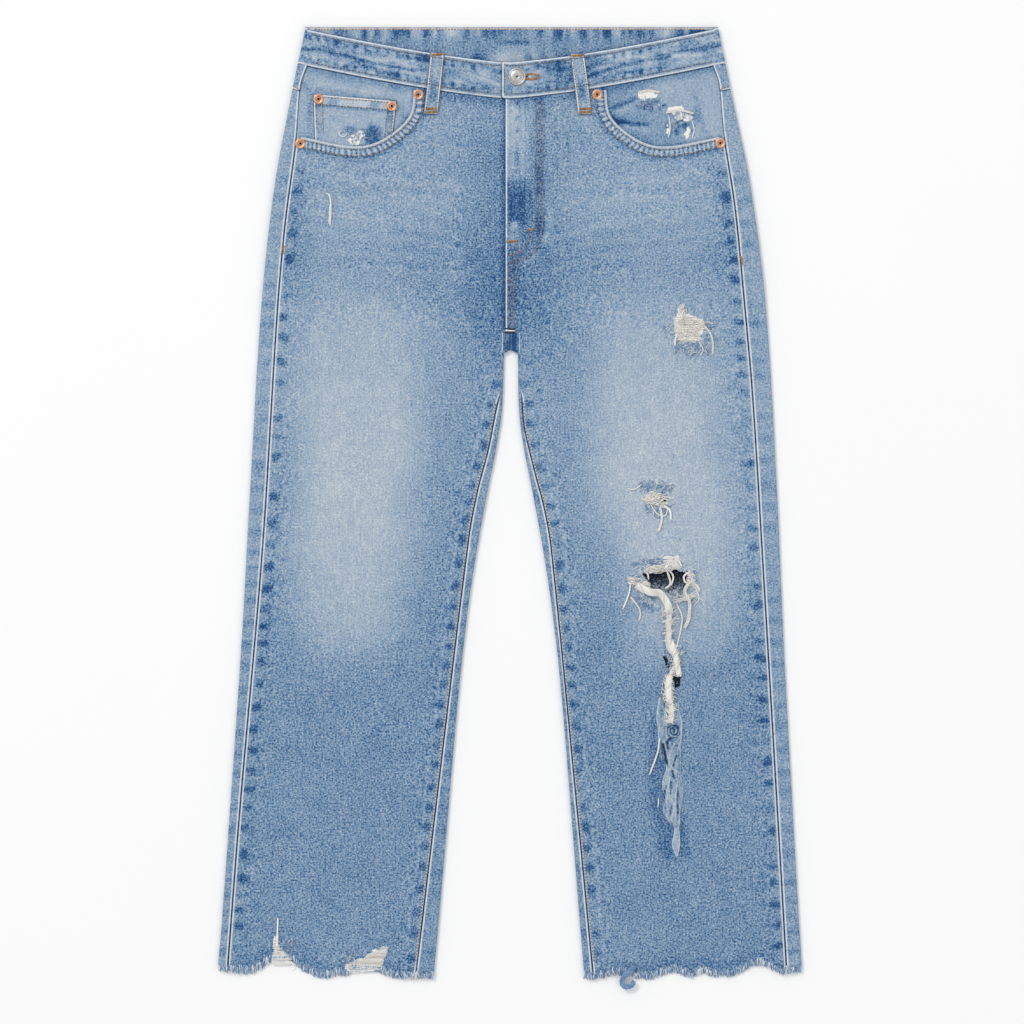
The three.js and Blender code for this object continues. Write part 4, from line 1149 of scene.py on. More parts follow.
def build_waistband():
    v = np.r_[0, 0.018, 0.045, 0.08, spread(0.12, 0.88, 0.043), 0.92, 0.955, 0.982, 1]
    stations = []
    arc = np.linspace(0, 1, 9)[1:-1]

    def front(x, is_over):
        y = band_low(x) + BAND_HEIGHT * v
        rise = BAND_OVER_RISE * float(ramp(x, *BAND_OVER_RAMP)) if is_over else 0.0
        stations.append((np.full_like(v, x), y, np.full_like(v, TOP + rise),
                         np.full_like(v, x), np.full_like(v, TOP + rise - BAND_WALL), 0))

    def fold(leg, start, end):
        for t in np.r_[0, arc, 1]:
            angle = start + (end - start) * t
            y = band_low(BAND_HALF) + BAND_HEIGHT * v
            centre = leg.side(y) - BEND
            stations.append((
                leg.sign * (centre + BEND * math.cos(angle)), y,
                np.full_like(v, LIFT + BEND + BEND * math.sin(angle)),
                leg.sign * (centre + (BEND - BAND_WALL) * math.cos(angle)),
                np.full_like(v, LIFT + BEND + (BEND - BAND_WALL) * math.sin(angle)), 1))

    def back(x):
        y = band_low(BAND_HALF) + BAND_HEIGHT * v
        stations.append((np.full_like(v, x), y, np.full_like(v, LIFT), np.full_like(v, x),
                         np.full_like(v, LIFT + BAND_WALL), 2))

    for x in spread(BAND_UNDER_END_X, -BAND_CORNER_X, 1.9):
        front(x, False)
    fold(LEGS["right"], math.pi / 2, -math.pi / 2)
    for x in spread(-197, 197, 2.6):
        back(x)
    fold(LEGS["left"], -math.pi / 2, math.pi / 2)
    for x in spread(BAND_CORNER_X, BAND_OVER_END_X, 1.9):
        front(x, True)
    fields = [np.array([np.broadcast_to(s[k], v.shape) for s in stations]) for k in range(5)]
    x_out, y, z_out, x_in, z_in = fields
    kind = np.array([s[5] for s in stations])[:, None]
    path = np.hypot(np.diff(x_out[:, 0]), np.diff(z_out[:, 0]))
    along = np.r_[0, np.cumsum(path)][:, None] + 0 * v
    # the end of the over-lap has a rounded lower corner
    from_edge = np.minimum(v, 1 - v)[None] * BAND_HEIGHT + 0 * along
    ends = np.minimum(along, along.max() - along)
    edge = np.minimum(from_edge, ends)
    out_up = np.where(kind == 0, 1.0, 0.0)
    puckers = noise(along, from_edge * 0.5, 5.2, 41)
    swell = (-0.75 * ramp(edge, 1.7, 0) + 0.30 * np.exp(-((edge - 2.4) / 1.3) ** 2)
             - 0.42 * np.exp(-((edge - 5.2) / 1.1) ** 2)
             + 0.35 * puckers * ramp(edge, 3, 7) + 0.3 * fractal(along, v * 37, 24, 43))
    crease = np.zeros_like(along)
    for line, strength in BAND_CREASES:
        away, _ = near_line(x_out, y + 1.2 * noise(x_out, y, 18, 4), line)
        crease = np.maximum(crease, strength * np.exp(-((away / 1.6) ** 2)) * (kind <= 1))
    z_out = z_out + (swell - 0.6 * crease) * out_up
    z_in = z_in + np.where(kind == 2, 0.5 * swell, 0)
    dots = (0.5 + 0.5 * np.cos(along * 2 * math.pi / 9.5 + 3 * noise(along, along * 0, 30, 49)))
    dots = ramp(dots, 0.35, 0.9) * np.exp(-((from_edge - 8.2) / 2.4) ** 2) * (
        0.4 + ramp(noise(along, v * 9, 25, 42), -0.2, 0.3))
    streak = noise(along * 0.22, v * 37, 2.5, 50) * ramp(edge, 4, 7)
    # the creases are painted dark as the shade in them
    tone = (0.55 + 0.05 * fractal(along, v * 37, 30, 44) - 0.46 * crease
            + 0.18 * ramp(streak, 0.22, 0.45) - 0.16 * ramp(streak, -0.36, -0.55)
            - 0.12 * ramp(noise(along, v * 37, 7.5, 45), 0.30, 0.6) * ramp(edge, 4, 7)
            + 0.14 * ramp(noise(along, v * 37, 9, 46), 0.1, 0.7) * ramp(edge, 3, 6)
            - 0.18 * np.exp(-((edge - 4.6) / 1.0) ** 2) - 0.30 * dots)
    # painted shade beside the loops and under the folds
    for cx, cy, rx, ry, depth in BAND_PAINTED_SHADE:
        tone = tone - depth * spot(x_out, y + 1.5 * noise(x_out, y, 6, 4), cx, cy, rx, ry, 0.5)
    bars = 0.42 * noise(along + 3 * noise(along, v * 37, 14, 39), v * 3, 4.2, 47) * (
        0.25 + ramp(from_edge, 16, 5))
    inside_tone = 0.40 + bars + 0.09 * fractal(along, v * 37, 16, 48)
    faded = (np.abs(x_out - 5) < 20) & (kind == 2) & (np.abs(y - 448) < 9)
    inside_tone = inside_tone + 0.10 * faded - 0.22 * spot(x_out, y, 7, 459, 14, 2.5, 0.5)
    top = np.stack([x_out, y, z_out], 2)
    low = np.stack([x_in, y, z_in], 2)
    slot_zone = ((kind == 0) & (along > along.max() - 60)
                 & (np.abs(y - BUTTON_Y) < 0.9) & (x_out > BUTTON_X) & (x_out < BUTTON_X + 19))
    eye = (along > along.max() - 60) & (np.hypot(x_out - BUTTON_X, y - BUTTON_Y) < 3.3)
    hole = slot_zone | eye
    keep = ~(hole[:-1, :-1] & hole[1:, 1:]) & ~(eye[:-1, :-1] | eye[1:, 1:])
    walls = Walls("waistband_cloth")
    walls.add(top, low, keep, tone=tone, tone_low=inside_tone, edge=edge, edge_low=from_edge,
              inner_low=0.12)
    return walls.make(), flat_size(top)


LOOP_WIDTH = 14.0


def build_loop(name, top_x, top_y, low_x, low_y, base_z, thick=1.5, turned_down=False):
    """A belt loop between its two ends, arched over the waistband when it is on the front."""
    rows = spread(low_y, top_y, 1.4)
    u = np.array([0, 0.5, 1.1, 1.9, 2.8, 4, 5.5, 7, 8.5, 10, 11.2, 12.1, 12.9, 13.5, 14])
    u = u / LOOP_WIDTH
    t = (rows - rows[0]) / (rows[-1] - rows[0])
    centre = low_x + (top_x - low_x) * t
    x = (centre[:, None] + (u[None] * 2 - 1) * LOOP_WIDTH / 2
         + 0.25 * noise(rows, rows * 0, 8, 3)[:, None])
    y = np.repeat(rows[:, None], len(u), 1)
    side = np.minimum(u, 1 - u)[None] * LOOP_WIDTH + 0 * x
    end = np.minimum(rows - rows[0], rows[-1] - rows)[:, None] + 0 * x
    away = np.minimum(side, end)
    arch = 1.0 * np.sin(math.pi * t)[:, None] ** 0.7
    swell = (-0.5 * ramp(away, 1.3, 0) + 0.35 * np.exp(-((side - 1.8) / 0.9) ** 2)
             - 0.25 * ramp(end, 4.5, 1.5))
    z = base_z + thick + arch * (0.2 if turned_down else 1.0) + swell
    low = base_z + arch * (0.0 if turned_down else 0.8)
    if turned_down:
        z, low = low + thick + 0 * x, base_z - swell * 0.8
        z, low = np.maximum(z, low + 0.4), low
        low = np.maximum(low, 0.02)
    tone = (0.60 + 0.25 * np.exp(-((side - 1.4) / 1.0) ** 2) - 0.1 * np.exp(-((side - 4) / 1) ** 2)
            - 0.32 * ramp(np.abs(t[:, None] * 62 - 24), 15, 5) * ramp(side, 2.5, 5)
            + 0.05 * fractal(x, y, 10, 62))
    walls = Walls(name)
    low = low + 0 * x
    walls.add(np.stack([x, y, z], 2), np.stack([x, y, low], 2), tone=tone, edge=away)
    return walls.make(), flat_size(np.stack([x, y, z], 2))


# --------------------------------------------------------------- laying on the cloth


class Surface:
    """The upper side of the cloth made so far, for whatever is laid on it."""

    def __init__(self, objects):
        points, faces, count = [], [], 0
        for obj in objects:
            mesh = obj.data
            flat = np.empty(len(mesh.vertices) * 3)
            mesh.vertices.foreach_get("co", flat)
            points.append(flat.reshape(-1, 3) / MM)
            faces += [[count + i for i in polygon.vertices] for polygon in mesh.polygons]
            count += len(mesh.vertices)
        self.tree = BVHTree.FromPolygons(np.vstack(points).tolist(), faces)

    def height(self, x, y, least=0.0):
        hit = self.tree.ray_cast(Vector((x, y, 60.0)), Vector((0, 0, -1)))
        return least if hit[0] is None else max(hit[0].z, least)

    def lay(self, points, above, least=0.0):
        return np.array([(x, y, self.height(x, y, least) + above) for x, y in
                         np.asarray(points)[:, :2]])


def stitch_paths(surface, lines, pitch=3.1, length=2.2, above=0.12, wander=0.12):
    """Single stitches along each line, with their ends pulled into the cloth."""
    paths = []
    for line in lines:
        points = spline(line, 0.4)
        arc = np.r_[0, np.cumsum(np.linalg.norm(np.diff(points, axis=0), axis=1))]
        for at in np.arange(0.4, arc[-1] - length, pitch):
            where = at + length * np.array([0, 0.2, 0.5, 0.8, 1.0])
            xy = np.stack([np.interp(where, arc, points[:, k]) for k in (0, 1)], 1)
            xy = xy + RNG.normal(0, wander, 2)
            path = surface.lay(xy, above)
            path[:, 2] = path[:, 2].max() + np.array([-0.45, 0.0, 0.08, 0.0, -0.45])
            paths.append(path)
    return paths


def stitches(name, surface, lines, radius=0.46, **options):
    paths = stitch_paths(surface, lines, **options)
    sizes = [radius * np.array([0.6, 1.0, 1.0, 1.0, 0.6])] * len(paths)
    tones = list(RNG.uniform(0.2, 0.9, len(paths)))
    return tube_mesh(name, paths, sizes, sides=5, attributes=tones)


TACK_WIDTH = 2.2


def bar_tack(surface, centre, direction, length):
    """Close zigzag stitches across a line, as sewn at a strained point."""
    dx, dy = np.array(direction) / np.hypot(*direction)
    paths = []
    count = int(length / 0.75)
    for k in range(count):
        at = (k / (count - 1) - 0.5) * length
        x, y = centre[0] + dx * at, centre[1] + dy * at
        ends = [(x - dy * TACK_WIDTH / 2, y + dx * TACK_WIDTH / 2),
                (x + dx * 0.3, y + dy * 0.3), (x + dy * TACK_WIDTH / 2, y - dx * TACK_WIDTH / 2)]
        path = surface.lay(ends, 0.25)
        path[:, 2] = path[:, 2].max() + np.array([-0.3, 0.1, -0.3])
        paths.append(path)
    return paths


# ------------------------------------------------------------------ torn threads


def patch_wefts(surface, patch, step, least):
    """White threads that still run across a worn-through patch, as (paths, radii)."""
    outline = [tuple(p) for p in patch]
    xs, ys = [p[0] for p in patch], [p[1] for p in patch]
    x = np.linspace(min(xs), max(xs), 60)
    paths = []
    for y in np.arange(min(ys) + 0.4, max(ys), step):
        hit = x[inside(x, np.full_like(x, y), outline)]
        if len(hit) < 4:
            continue
        start, end = hit[0] - RNG.uniform(0, 1.5), hit[-1] + RNG.uniform(0, 1.5)
        if RNG.random() < 0.2:
            end = start + (end - start) * RNG.uniform(0.4, 0.9)
        along = spread(start, end, 2.2)
        wave = y + 0.5 * noise(along, along * 0 + y, 7, 21) + RNG.normal(0, 0.12)
        path = surface.lay(np.stack([along, wave], 1), 0.25, least)
        path[:, 2] += 0.35 * (1 + noise(along, along * 0 + y, 5, 22))
        if len(path) > 2:
            paths.append(path)
    return paths


STRAND_STEP = 1.6
STRAND_LIFT = 0.5            # room between the cloth and a bundle's lowest thread


def strands(surface, line, count, radius, spread_by, twist, least):
    """A loose bundle of threads along a line, side by side or turned round each other."""
    centre = spline(line, STRAND_STEP)
    ahead = np.gradient(centre, axis=0)
    ahead /= np.maximum(np.linalg.norm(ahead, axis=1), 1e-6)[:, None]
    side = np.stack([-ahead[:, 1], ahead[:, 0]], 1)
    arc = np.arange(len(centre)) * STRAND_STEP
    ground = surface.lay(centre, 0.0, least)[:, 2]
    ground = np.convolve(np.pad(ground, 2, mode="edge"), np.ones(5) / 5, mode="valid")
    paths = []
    for k in range(count):
        if twist:
            angle = 2 * math.pi * (arc / twist + k / count)
            off, up = spread_by * np.cos(angle), spread_by * (1 + np.sin(angle))
        else:
            off = spread_by * ((k + 0.5) / count * 2 - 1) + 0.6 * spread_by * noise(
                arc, arc * 0 + k * 7, 14, 33)
            up = 0.3 * (k % 3) + 0.4 * (1 + noise(arc, arc * 0 + k * 5, 9, 34))
        xy = centre + side * off[:, None]
        z = ground + STRAND_LIFT + up + radius
        paths.append(np.column_stack([xy, z]))
    taper = ramp(np.arange(len(centre)), -1, 2) * ramp(np.arange(len(centre)), len(centre),
                                                     len(centre) - 3)
    return paths, [radius * (0.35 + 0.65 * taper)] * count


# Loose white threads of the left leg: line, how many, thread radius, spread, twist length.
LOOSE_WHITE = [
    ([(194, 175.5), (199, 170), (202, 163.5), (203, 155), (202.5, 146.5)], 2, 0.5, 0.7, 0),
    ([(167, 166.5), (165.5, 162), (165, 155.5)], 2, 0.5, 0.6, 0),
    ([(188, 161), (193, 152), (190, 146)], 1, 0.4, 0, 0),
    ([(150, -5), (152, -16), (150, -26), (147, -30.5)], 2, 0.55, 1.0, 0),
    ([(154, -4), (160, -9), (161, -18.5)], 2, 0.55, 0.8, 0),
    ([(140, -2), (147, -12), (155, -14), (158, -6)], 1, 0.5, 0, 0),
    ([(117, 13.5), (124, 12), (132, 17.5)], 1, 0.5, 0, 0),
    ([(131, 3), (139, 1), (146, 4)], 2, 0.5, 0.8, 0),
    ([(156.6, -68), (159.5, -76), (160.4, -83), (155, -87.5)], 2, 0.6, 0.7, 0),
    ([(158.8, -68), (163.4, -75), (161.2, -84)], 2, 0.5, 0.6, 0),
    ([(126, -83), (133, -87.5), (140, -90.5), (149, -91.5), (154, -97), (158, -104),
      (159.5, -112)], 9, 0.75, 3.0, 26),
    ([(153, -57), (159, -57), (166, -61), (170, -66)], 6, 0.6, 2.6, 0),
    ([(155, -68), (160, -62), (167, -58)], 5, 0.6, 2.6, 0),
    ([(136.8, -70.5), (138.2, -74), (138.6, -78)], 2, 0.5, 0.6, 0),
    ([(178, -71), (174, -75), (175, -80), (178, -82)], 2, 0.6, 0.6, 0),
    ([(137, -69.5), (143, -65.5), (156, -63.5)], 3, 0.6, 1.6, 0),
    ([(181, -80), (186, -86), (190, -90)], 3, 0.4, 1.6, 0),
    ([(163, -100), (176, -96), (188, -90)], 3, 0.35, 1.6, 0),
    ([(120.6, -81.3), (119.8, -89), (117, -98), (113, -107.4)], 2, 0.5, 0.5, 0),
    ([(120.6, -95), (128.3, -105), (130.6, -112), (129, -119)], 2, 0.5, 0.5, 0),
    ([(119, -77), (124, -82), (130, -83), (126, -90)], 2, 0.5, 0.9, 0),
    ([(179.5, -80), (175, -87.5), (175, -92), (178.8, -98.2), (179.5, -107.4), (178, -119),
      (174.2, -126.5)], 4, 0.6, 1.3, 13),
    ([(166.5, -102), (171.9, -115), (170.3, -130.3), (166.5, -145.5)], 2, 0.5, 0.5, 0),
    ([(182.6, -81.3), (187, -84), (190.2, -89)], 2, 0.5, 0.7, 0),
    ([(186, -88), (189, -97), (184, -104)], 1, 0.45, 0, 0),
    ([(149.4, -236), (148.5, -247), (146, -256), (139.5, -273.5)], 2, 0.55, 0.5, 0),
    ([(148.5, -296.5), (148, -305.5)], 1, 0.6, 0, 0),
    ([(157, -186), (163, -191), (158, -199)], 2, 0.5, 1.0, 0),
]
LOOSE_RIGHT = [
    ([(-167, 371), (-171, 368), (-167, 364), (-163, 367)], 1, 0.4, 0, 0),
    ([(-237, -446), (-229, -447)], 2, 0.6, 0.6, 0),
    ([(-232, -416), (-232.5, -430), (-233, -446)], 1, 0.8, 0, 0),
    ([(-219, -461), (-216, -464), (-221, -467)], 1, 0.5, 0, 0),
    ([(-158, -462), (-163, -466), (-159, -470)], 2, 0.5, 0.7, 0),
    ([(-184, 308), (-180.5, 306), (-179, 298), (-178.8, 288), (-179.8, 276)], 2, 0.4, 0.6, 0),
    ([(-179.5, 297), (-180, 287), (-180.6, 277)], 2, 0.35, 0.7, 0),
]
LOOSE_LEFT_POCKET = [
    ([(159, 384), (160, 372), (158, 363.5)], 1, 0.45, 0, 0),
    ([(182, 380), (184, 371), (182, 363.5)], 1, 0.45, 0, 0),
    ([(128, 409), (138, 411), (150, 409)], 2, 0.5, 0.8, 0),
    ([(156, 389), (170, 391), (184, 388)], 2, 0.5, 0.8, 0),
]
MAIN_BUNDLE = [(158.9, -104), (158.9, -114.2), (158, -122.5), (158.9, -130.3), (158, -138),
               (158.9, -145.5), (163, -152)]
ROPES = [
    ([(160, -138), (164, -150), (167, -163), (169, -175)], 8, 0.62, 2.4, 13),
    ([(159.5, -173), (158, -186), (159.5, -202)], 9, 0.62, 2.8, 14),
    ([(160, -200), (161.5, -210), (160.5, -221)], 7, 0.6, 2.3, 12),
    ([(165, -165), (161, -171), (160, -178)], 3, 0.9, 1.3, 11),
]
# Where short torn white ends stick out: middle, radii, how many, heading.
WHITE_FUZZ = [(165.5, -158, 5, 15, 110, 0.7), (159, -188, 5.5, 14, 140, -0.8),
              (160.5, -212, 4, 9, 70, -0.8), (158.5, -122, 4.5, 18, 90, 0.3),
              (162, -62, 7, 4.5, 50, 0.9), (181, -76, 3.5, 5, 30, -0.8),
              (125, -79, 5, 4, 24, 0.4), (146, -67, 9, 2.5, 30, 0.1),
              (175, -96, 12, 3, 24, 0.35), (148, 2, 11, 5, 50, 0.1),
              (180, 171, 14, 11, 60, 0.1), (173, 188, 3, 9, 24, 1.4)]


def fuzz(surface, areas, least):
    paths = []
    for k, (cx, cy, rx, ry, count, heading) in enumerate(areas):
        low, high = (2.2, 6.6) if k < 4 else (0.2, 3.4)
        for _ in range(count):
            x, y = cx + rx * RNG.normal(0, 0.5), cy + ry * RNG.uniform(-1, 1)
            turn = heading + RNG.normal(0, 0.35)
            half = RNG.uniform(1.4, 3.6)
            bow = RNG.normal(0, 0.5)
            line = [(x - half * math.cos(turn), y - half * math.sin(turn)),
                    (x - bow * math.sin(turn), y + bow * math.cos(turn)),
                    (x + half * math.cos(turn), y + half * math.sin(turn))]
            path = surface.lay(spline(line, 1.0), 0.3, least)
            path[:, 2] += RNG.uniform(low, high) * np.sin(np.linspace(0.5, 2.6, len(path)))
            paths.append(path)
    return paths, [np.linspace(0.42, 0.26, len(p)) for p in paths]


def curls(surface, areas, least, size=(2.5, 7.0)):
    """Short frayed ends, blue and white, lying every way around a rip."""
    paths, radii, tones = [], [], []
    for cx, cy, rx, ry, count in areas:
        for _ in range(count):
            angle, away = RNG.uniform(0, 2 * math.pi), math.sqrt(RNG.random())
            x, y = cx + rx * away * math.cos(angle), cy + ry * away * math.sin(angle)
            heading, bend = RNG.uniform(0, 2 * math.pi), RNG.normal(0, 0.5)
            steps = RNG.integers(4, 7)
            stride = RNG.uniform(*size) / steps
            line = [(x, y)]
            for _ in range(steps):
                heading += bend
                line.append((line[-1][0] + stride * math.cos(heading),
                             line[-1][1] + stride * math.sin(heading)))
            path = surface.lay(line, 0.15, least)
            path[:, 2] += 0.8 * np.sin(np.linspace(0, math.pi, len(path)))
            paths.append(path)
            radii.append(np.linspace(0.34, 0.2, len(path)))
            tones.append(RNG.choice([0.4, 0.5, 0.65, 0.85, 1.0]))
    return paths, radii, tones


def hem_fringe(which):
    """Threads that hang from the raw hems, in front and behind."""
    leg = LEGS[which]
    paths, radii, tones = [], [], []
    inner, side = float(leg.inner(HEM_Y)), float(leg.side(HEM_Y))
    for layer in ("front", "back"):
        at = inner + 0.6
        while at < side - 0.6:
            x = leg.sign * at
            root = float(leg.hem(x)) + FRINGE + RNG.uniform(-0.4, 3.4)
            end = float(leg.hem(x)) + RNG.uniform(-0.6, 2.4)
            if layer == "front":
                to_fold = min(at - inner, side - at)
                z = float(front_low(leg, np.array(at), np.array(HEM_Y))) + 0.9
                z = min(z, 2.5 + 2.3 * math.sqrt(clamp(to_fold / BEND)))
            else:
                z = 0.75
            lean = RNG.normal(0, 0.8) + 1.2 * float(noise(np.array(x), np.array(0.0), 17, 91))
            t = np.linspace(0, 1, 5)
            path = np.stack([x + lean * t + 0.35 * np.sin(t * 5 + at),
                             root + (end - root) * t,
                             z + 0.35 * np.sin(math.pi * t) + 0.5 * RNG.random() * (1 - t)], 1)
            path[:, 2] = np.maximum(path[:, 2] - 0.9 * t ** 2 * (z > 2), 0.45)
            paths.append(path)
            radii.append(np.linspace(0.42, 0.26, 5))
            tones.append(float(clamp(0.68 + 0.26 * RNG.normal() + 0.2 * (lean > 0.8))))
            at += RNG.uniform(0.38, 0.7)
    return paths, radii, tones


def hem_loop(surface):
    """A twisted tag of cloth that hangs from the left leg's hem."""
    paths, radii = strands(surface, [(125, -464), (121, -468), (114, -474), (112, -481),
                                     (115, -485), (121, -484), (124, -479)], 5, 0.9, 1.9, 14,
                           2.2)
    return paths, radii, [0.35, 0.5, 0.45, 0.6, 0.4]


# ---------------------------------------------------------------- the torn strip

# The strip's left and right outlines, and the flap that hangs beside it at its upper left.
STRIP_LEFT = [(155, -204), (153.6, -216), (152.2, -229), (151.8, -241), (153.6, -254),
              (156, -266), (152.2, -279), (152.6, -289), (155.4, -297), (152.6, -309),
              (157, -318.5), (164, -325.5), (163, -336), (161.6, -343.5), (166.2, -355)]
STRIP_RIGHT = [(168.8, -200.5), (169.6, -210.5), (172.4, -220.5), (172, -233), (171, -247),
               (171, -264), (170.4, -270.5), (171.6, -277), (173.6, -289), (172, -301),
               (170, -313), (170.4, -320.5), (169.2, -325.5), (170, -335), (170, -344.5),
               (167.6, -355)]
LOBE_LEFT = [(149, -196), (147, -206), (146.3, -215), (147.6, -228), (148.8, -244), (151, -258)]
LOBE_RIGHT = [(153, -197), (153.8, -208), (152.8, -219), (152.4, -230), (152.6, -240),
              (154.2, -255)]
# Raised edges of its folds: line, and how strong.
STRIP_RIDGES = [
    ([(169, -202), (170, -211), (171.4, -222), (171.2, -234), (169, -248)], 1.0),
    ([(154, -240), (155.4, -246), (158, -256.5), (160, -264), (166, -270), (169, -271)], 1.0),
    ([(170, -236), (164, -243), (160, -252), (158.4, -262)], 0.9),
    ([(169, -240), (167, -254), (165, -264)], 0.8),
    ([(157, -268.5), (161, -267.5), (169, -271)], 0.8),
    ([(160, -274), (158.4, -285), (157, -297)], 0.8),
    ([(169, -274), (166, -289), (165, -305), (165, -324)], 1.0),
    ([(171, -275), (169, -284), (170, -293), (172, -299)], 0.8),
    ([(153, -280), (157, -293), (156, -301), (159, -313), (164.4, -324)], 1.0),
    ([(158, -296), (162, -298), (164, -306), (161, -317)], 0.7),
    ([(169, -298), (170, -312), (169, -324)], 0.9),
    ([(155, -210), (157, -219), (155.4, -229)], 0.8),
    ([(152.6, -300), (154, -309), (160, -320)], 0.7),
]
STRIP_GROOVES = [
    ([(153, -243), (154.5, -252), (156.4, -262)], 1.7, 0.9),
    ([(160, -236.5), (157, -241), (158, -247)], 1.5, 0.8),
    ([(166.5, -254), (163.5, -264)], 1.2, 0.7), ([(162, -268), (164, -277)], 1.1, 0.7),
    ([(161, -280), (160.5, -292)], 1.0, 0.5), ([(167.6, -290), (167.6, -318)], 0.8, 0.5),
    ([(161.5, -305), (159.5, -315)], 1.0, 0.5), ([(156, -284), (154.6, -292)], 1.0, 0.5),
    ([(162, -322), (166, -327), (169, -324)], 1.0, 0.4),
]
SWIRL = (162.4, -229.2)


def strip_sheet(walls, surface, left_line, right_line, tall, seed):
    """One crumpled band of cloth between two outlines that run down the leg."""
    y = -spread(-max(left_line[0][1], right_line[0][1]), -left_line[-1][1], 0.75)
    left = spline(left_line, 1.0)
    right = spline(right_line, 1.0)
    x_left = np.interp(-y, -left[:, 1], left[:, 0]) + 0.25 * noise(y, y * 0, 2.5, seed)
    x_right = np.interp(-y, -right[:, 1], right[:, 0]) + 0.25 * noise(y, y * 0, 2.5, seed + 1)
    u = np.linspace(0, 1, 45)[None]
    x = x_left[:, None] + (x_right - x_left)[:, None] * u
    grid_y = np.repeat(y[:, None], u.shape[1], 1)
    ground = np.array([[surface.height(a, b, ON_LEG - GAP) for a in (l, 0.5 * (l + r), r)]
                       for l, r, b in zip(x_left, x_right, y)]).max(1)
    ground = np.convolve(np.pad(ground, 4, mode="edge"), np.ones(9) / 9, mode="valid") + 0.25
    from_side = np.minimum(x - x_left[:, None], x_right[:, None] - x)
    body = np.sqrt(clamp(from_side / 3.2)) * np.interp(-y, [200, 225, 318, 330, 355],
                                                       [0.6, 1, 1, 0.55, 0.3])[:, None]
    ridge = np.zeros_like(x)
    for line, strength in STRIP_RIDGES:
        away, _ = near_line(x + 0.3 * noise(x, grid_y, 3, 55), grid_y, spline(line, 1.0))
        ridge = np.maximum(ridge, strength * np.exp(-((away / 0.62) ** 2)))
    groove_shade = np.zeros_like(x)
    for line, width, strength in STRIP_GROOVES:
        away, _ = near_line(x, grid_y, line)
        groove_shade = np.maximum(groove_shade, strength * np.exp(-((away / width) ** 2)))
    from_swirl = np.hypot(x - SWIRL[0], (grid_y - SWIRL[1]) * 0.9)
    turned = np.arctan2(grid_y - SWIRL[1], x - SWIRL[0])
    rings = 0.5 + 0.5 * np.cos(from_swirl * 2 * math.pi / 3.1 - turned + 3.2 * noise(
        x, grid_y, 6, 56))
    rings = rings * ramp(from_swirl, 8.6, 7.4) * (0.65 + 0.35 * noise(x, grid_y, 4, 58))
    ridge = np.maximum(ridge * ramp(from_swirl, 5, 7.5), 0.9 * rings)
    groove_shade = np.maximum(groove_shade, 0.55 * ramp(from_swirl, 8.6, 6.6) * (1 - rings))
    folds = 0.5 + 0.5 * noise(x, grid_y * 0.22, 3.6, seed + 2)
    tail = ramp(grid_y, -325, -329)
    ridge, groove_shade, folds = ridge * (1 - tail), groove_shade * (1 - tail), folds * (1 - tail) + tail * 0.6
    z = ground[:, None] + 0.3 + body * tall * (0.55 + 0.22 * folds + 0.30 * ridge - 0.42 * groove_shade)
    # the grooves are painted dark, near black through the inner face's greys, as the shade in them
    tone = (0.31 + 0.38 * folds + 0.46 * ridge - 0.66 * groove_shade + 0.14 * tail
            + 0.42 * ramp(from_side, 1.1, 0.4) + 0.10 * noise(x, grid_y, 2.2, seed + 3))
    top = np.stack([x, grid_y, z], 2)
    low = np.stack([x, grid_y, ground[:, None] + 0 * x], 2)
    walls.add(top, low, tone=tone, bare=0.42 * ramp(np.abs(grid_y + 326.5), 2.5, 1),
              inner=0.85 * clamp(groove_shade))
    return top


def build_torn_strip(surface):
    walls = Walls("torn_strip_cloth")
    strip_sheet(walls, surface, LOBE_LEFT, LOBE_RIGHT, 3.2, 61)
    top = strip_sheet(walls, surface, STRIP_LEFT, STRIP_RIGHT, 4.4, 51)
    return walls.make(drape=False), flat_size(top)



# --------------------------------------------------------------------- materials


def rgb(red, green, blue):
    """Linear colour from the 0 to 255 values that a screen shows."""
    def linear(value):
        value /= 255
        return value / 12.92 if value <= 0.04045 else ((value + 0.055) / 1.055) ** 2.4
    return (linear(red), linear(green), linear(blue), 1.0)


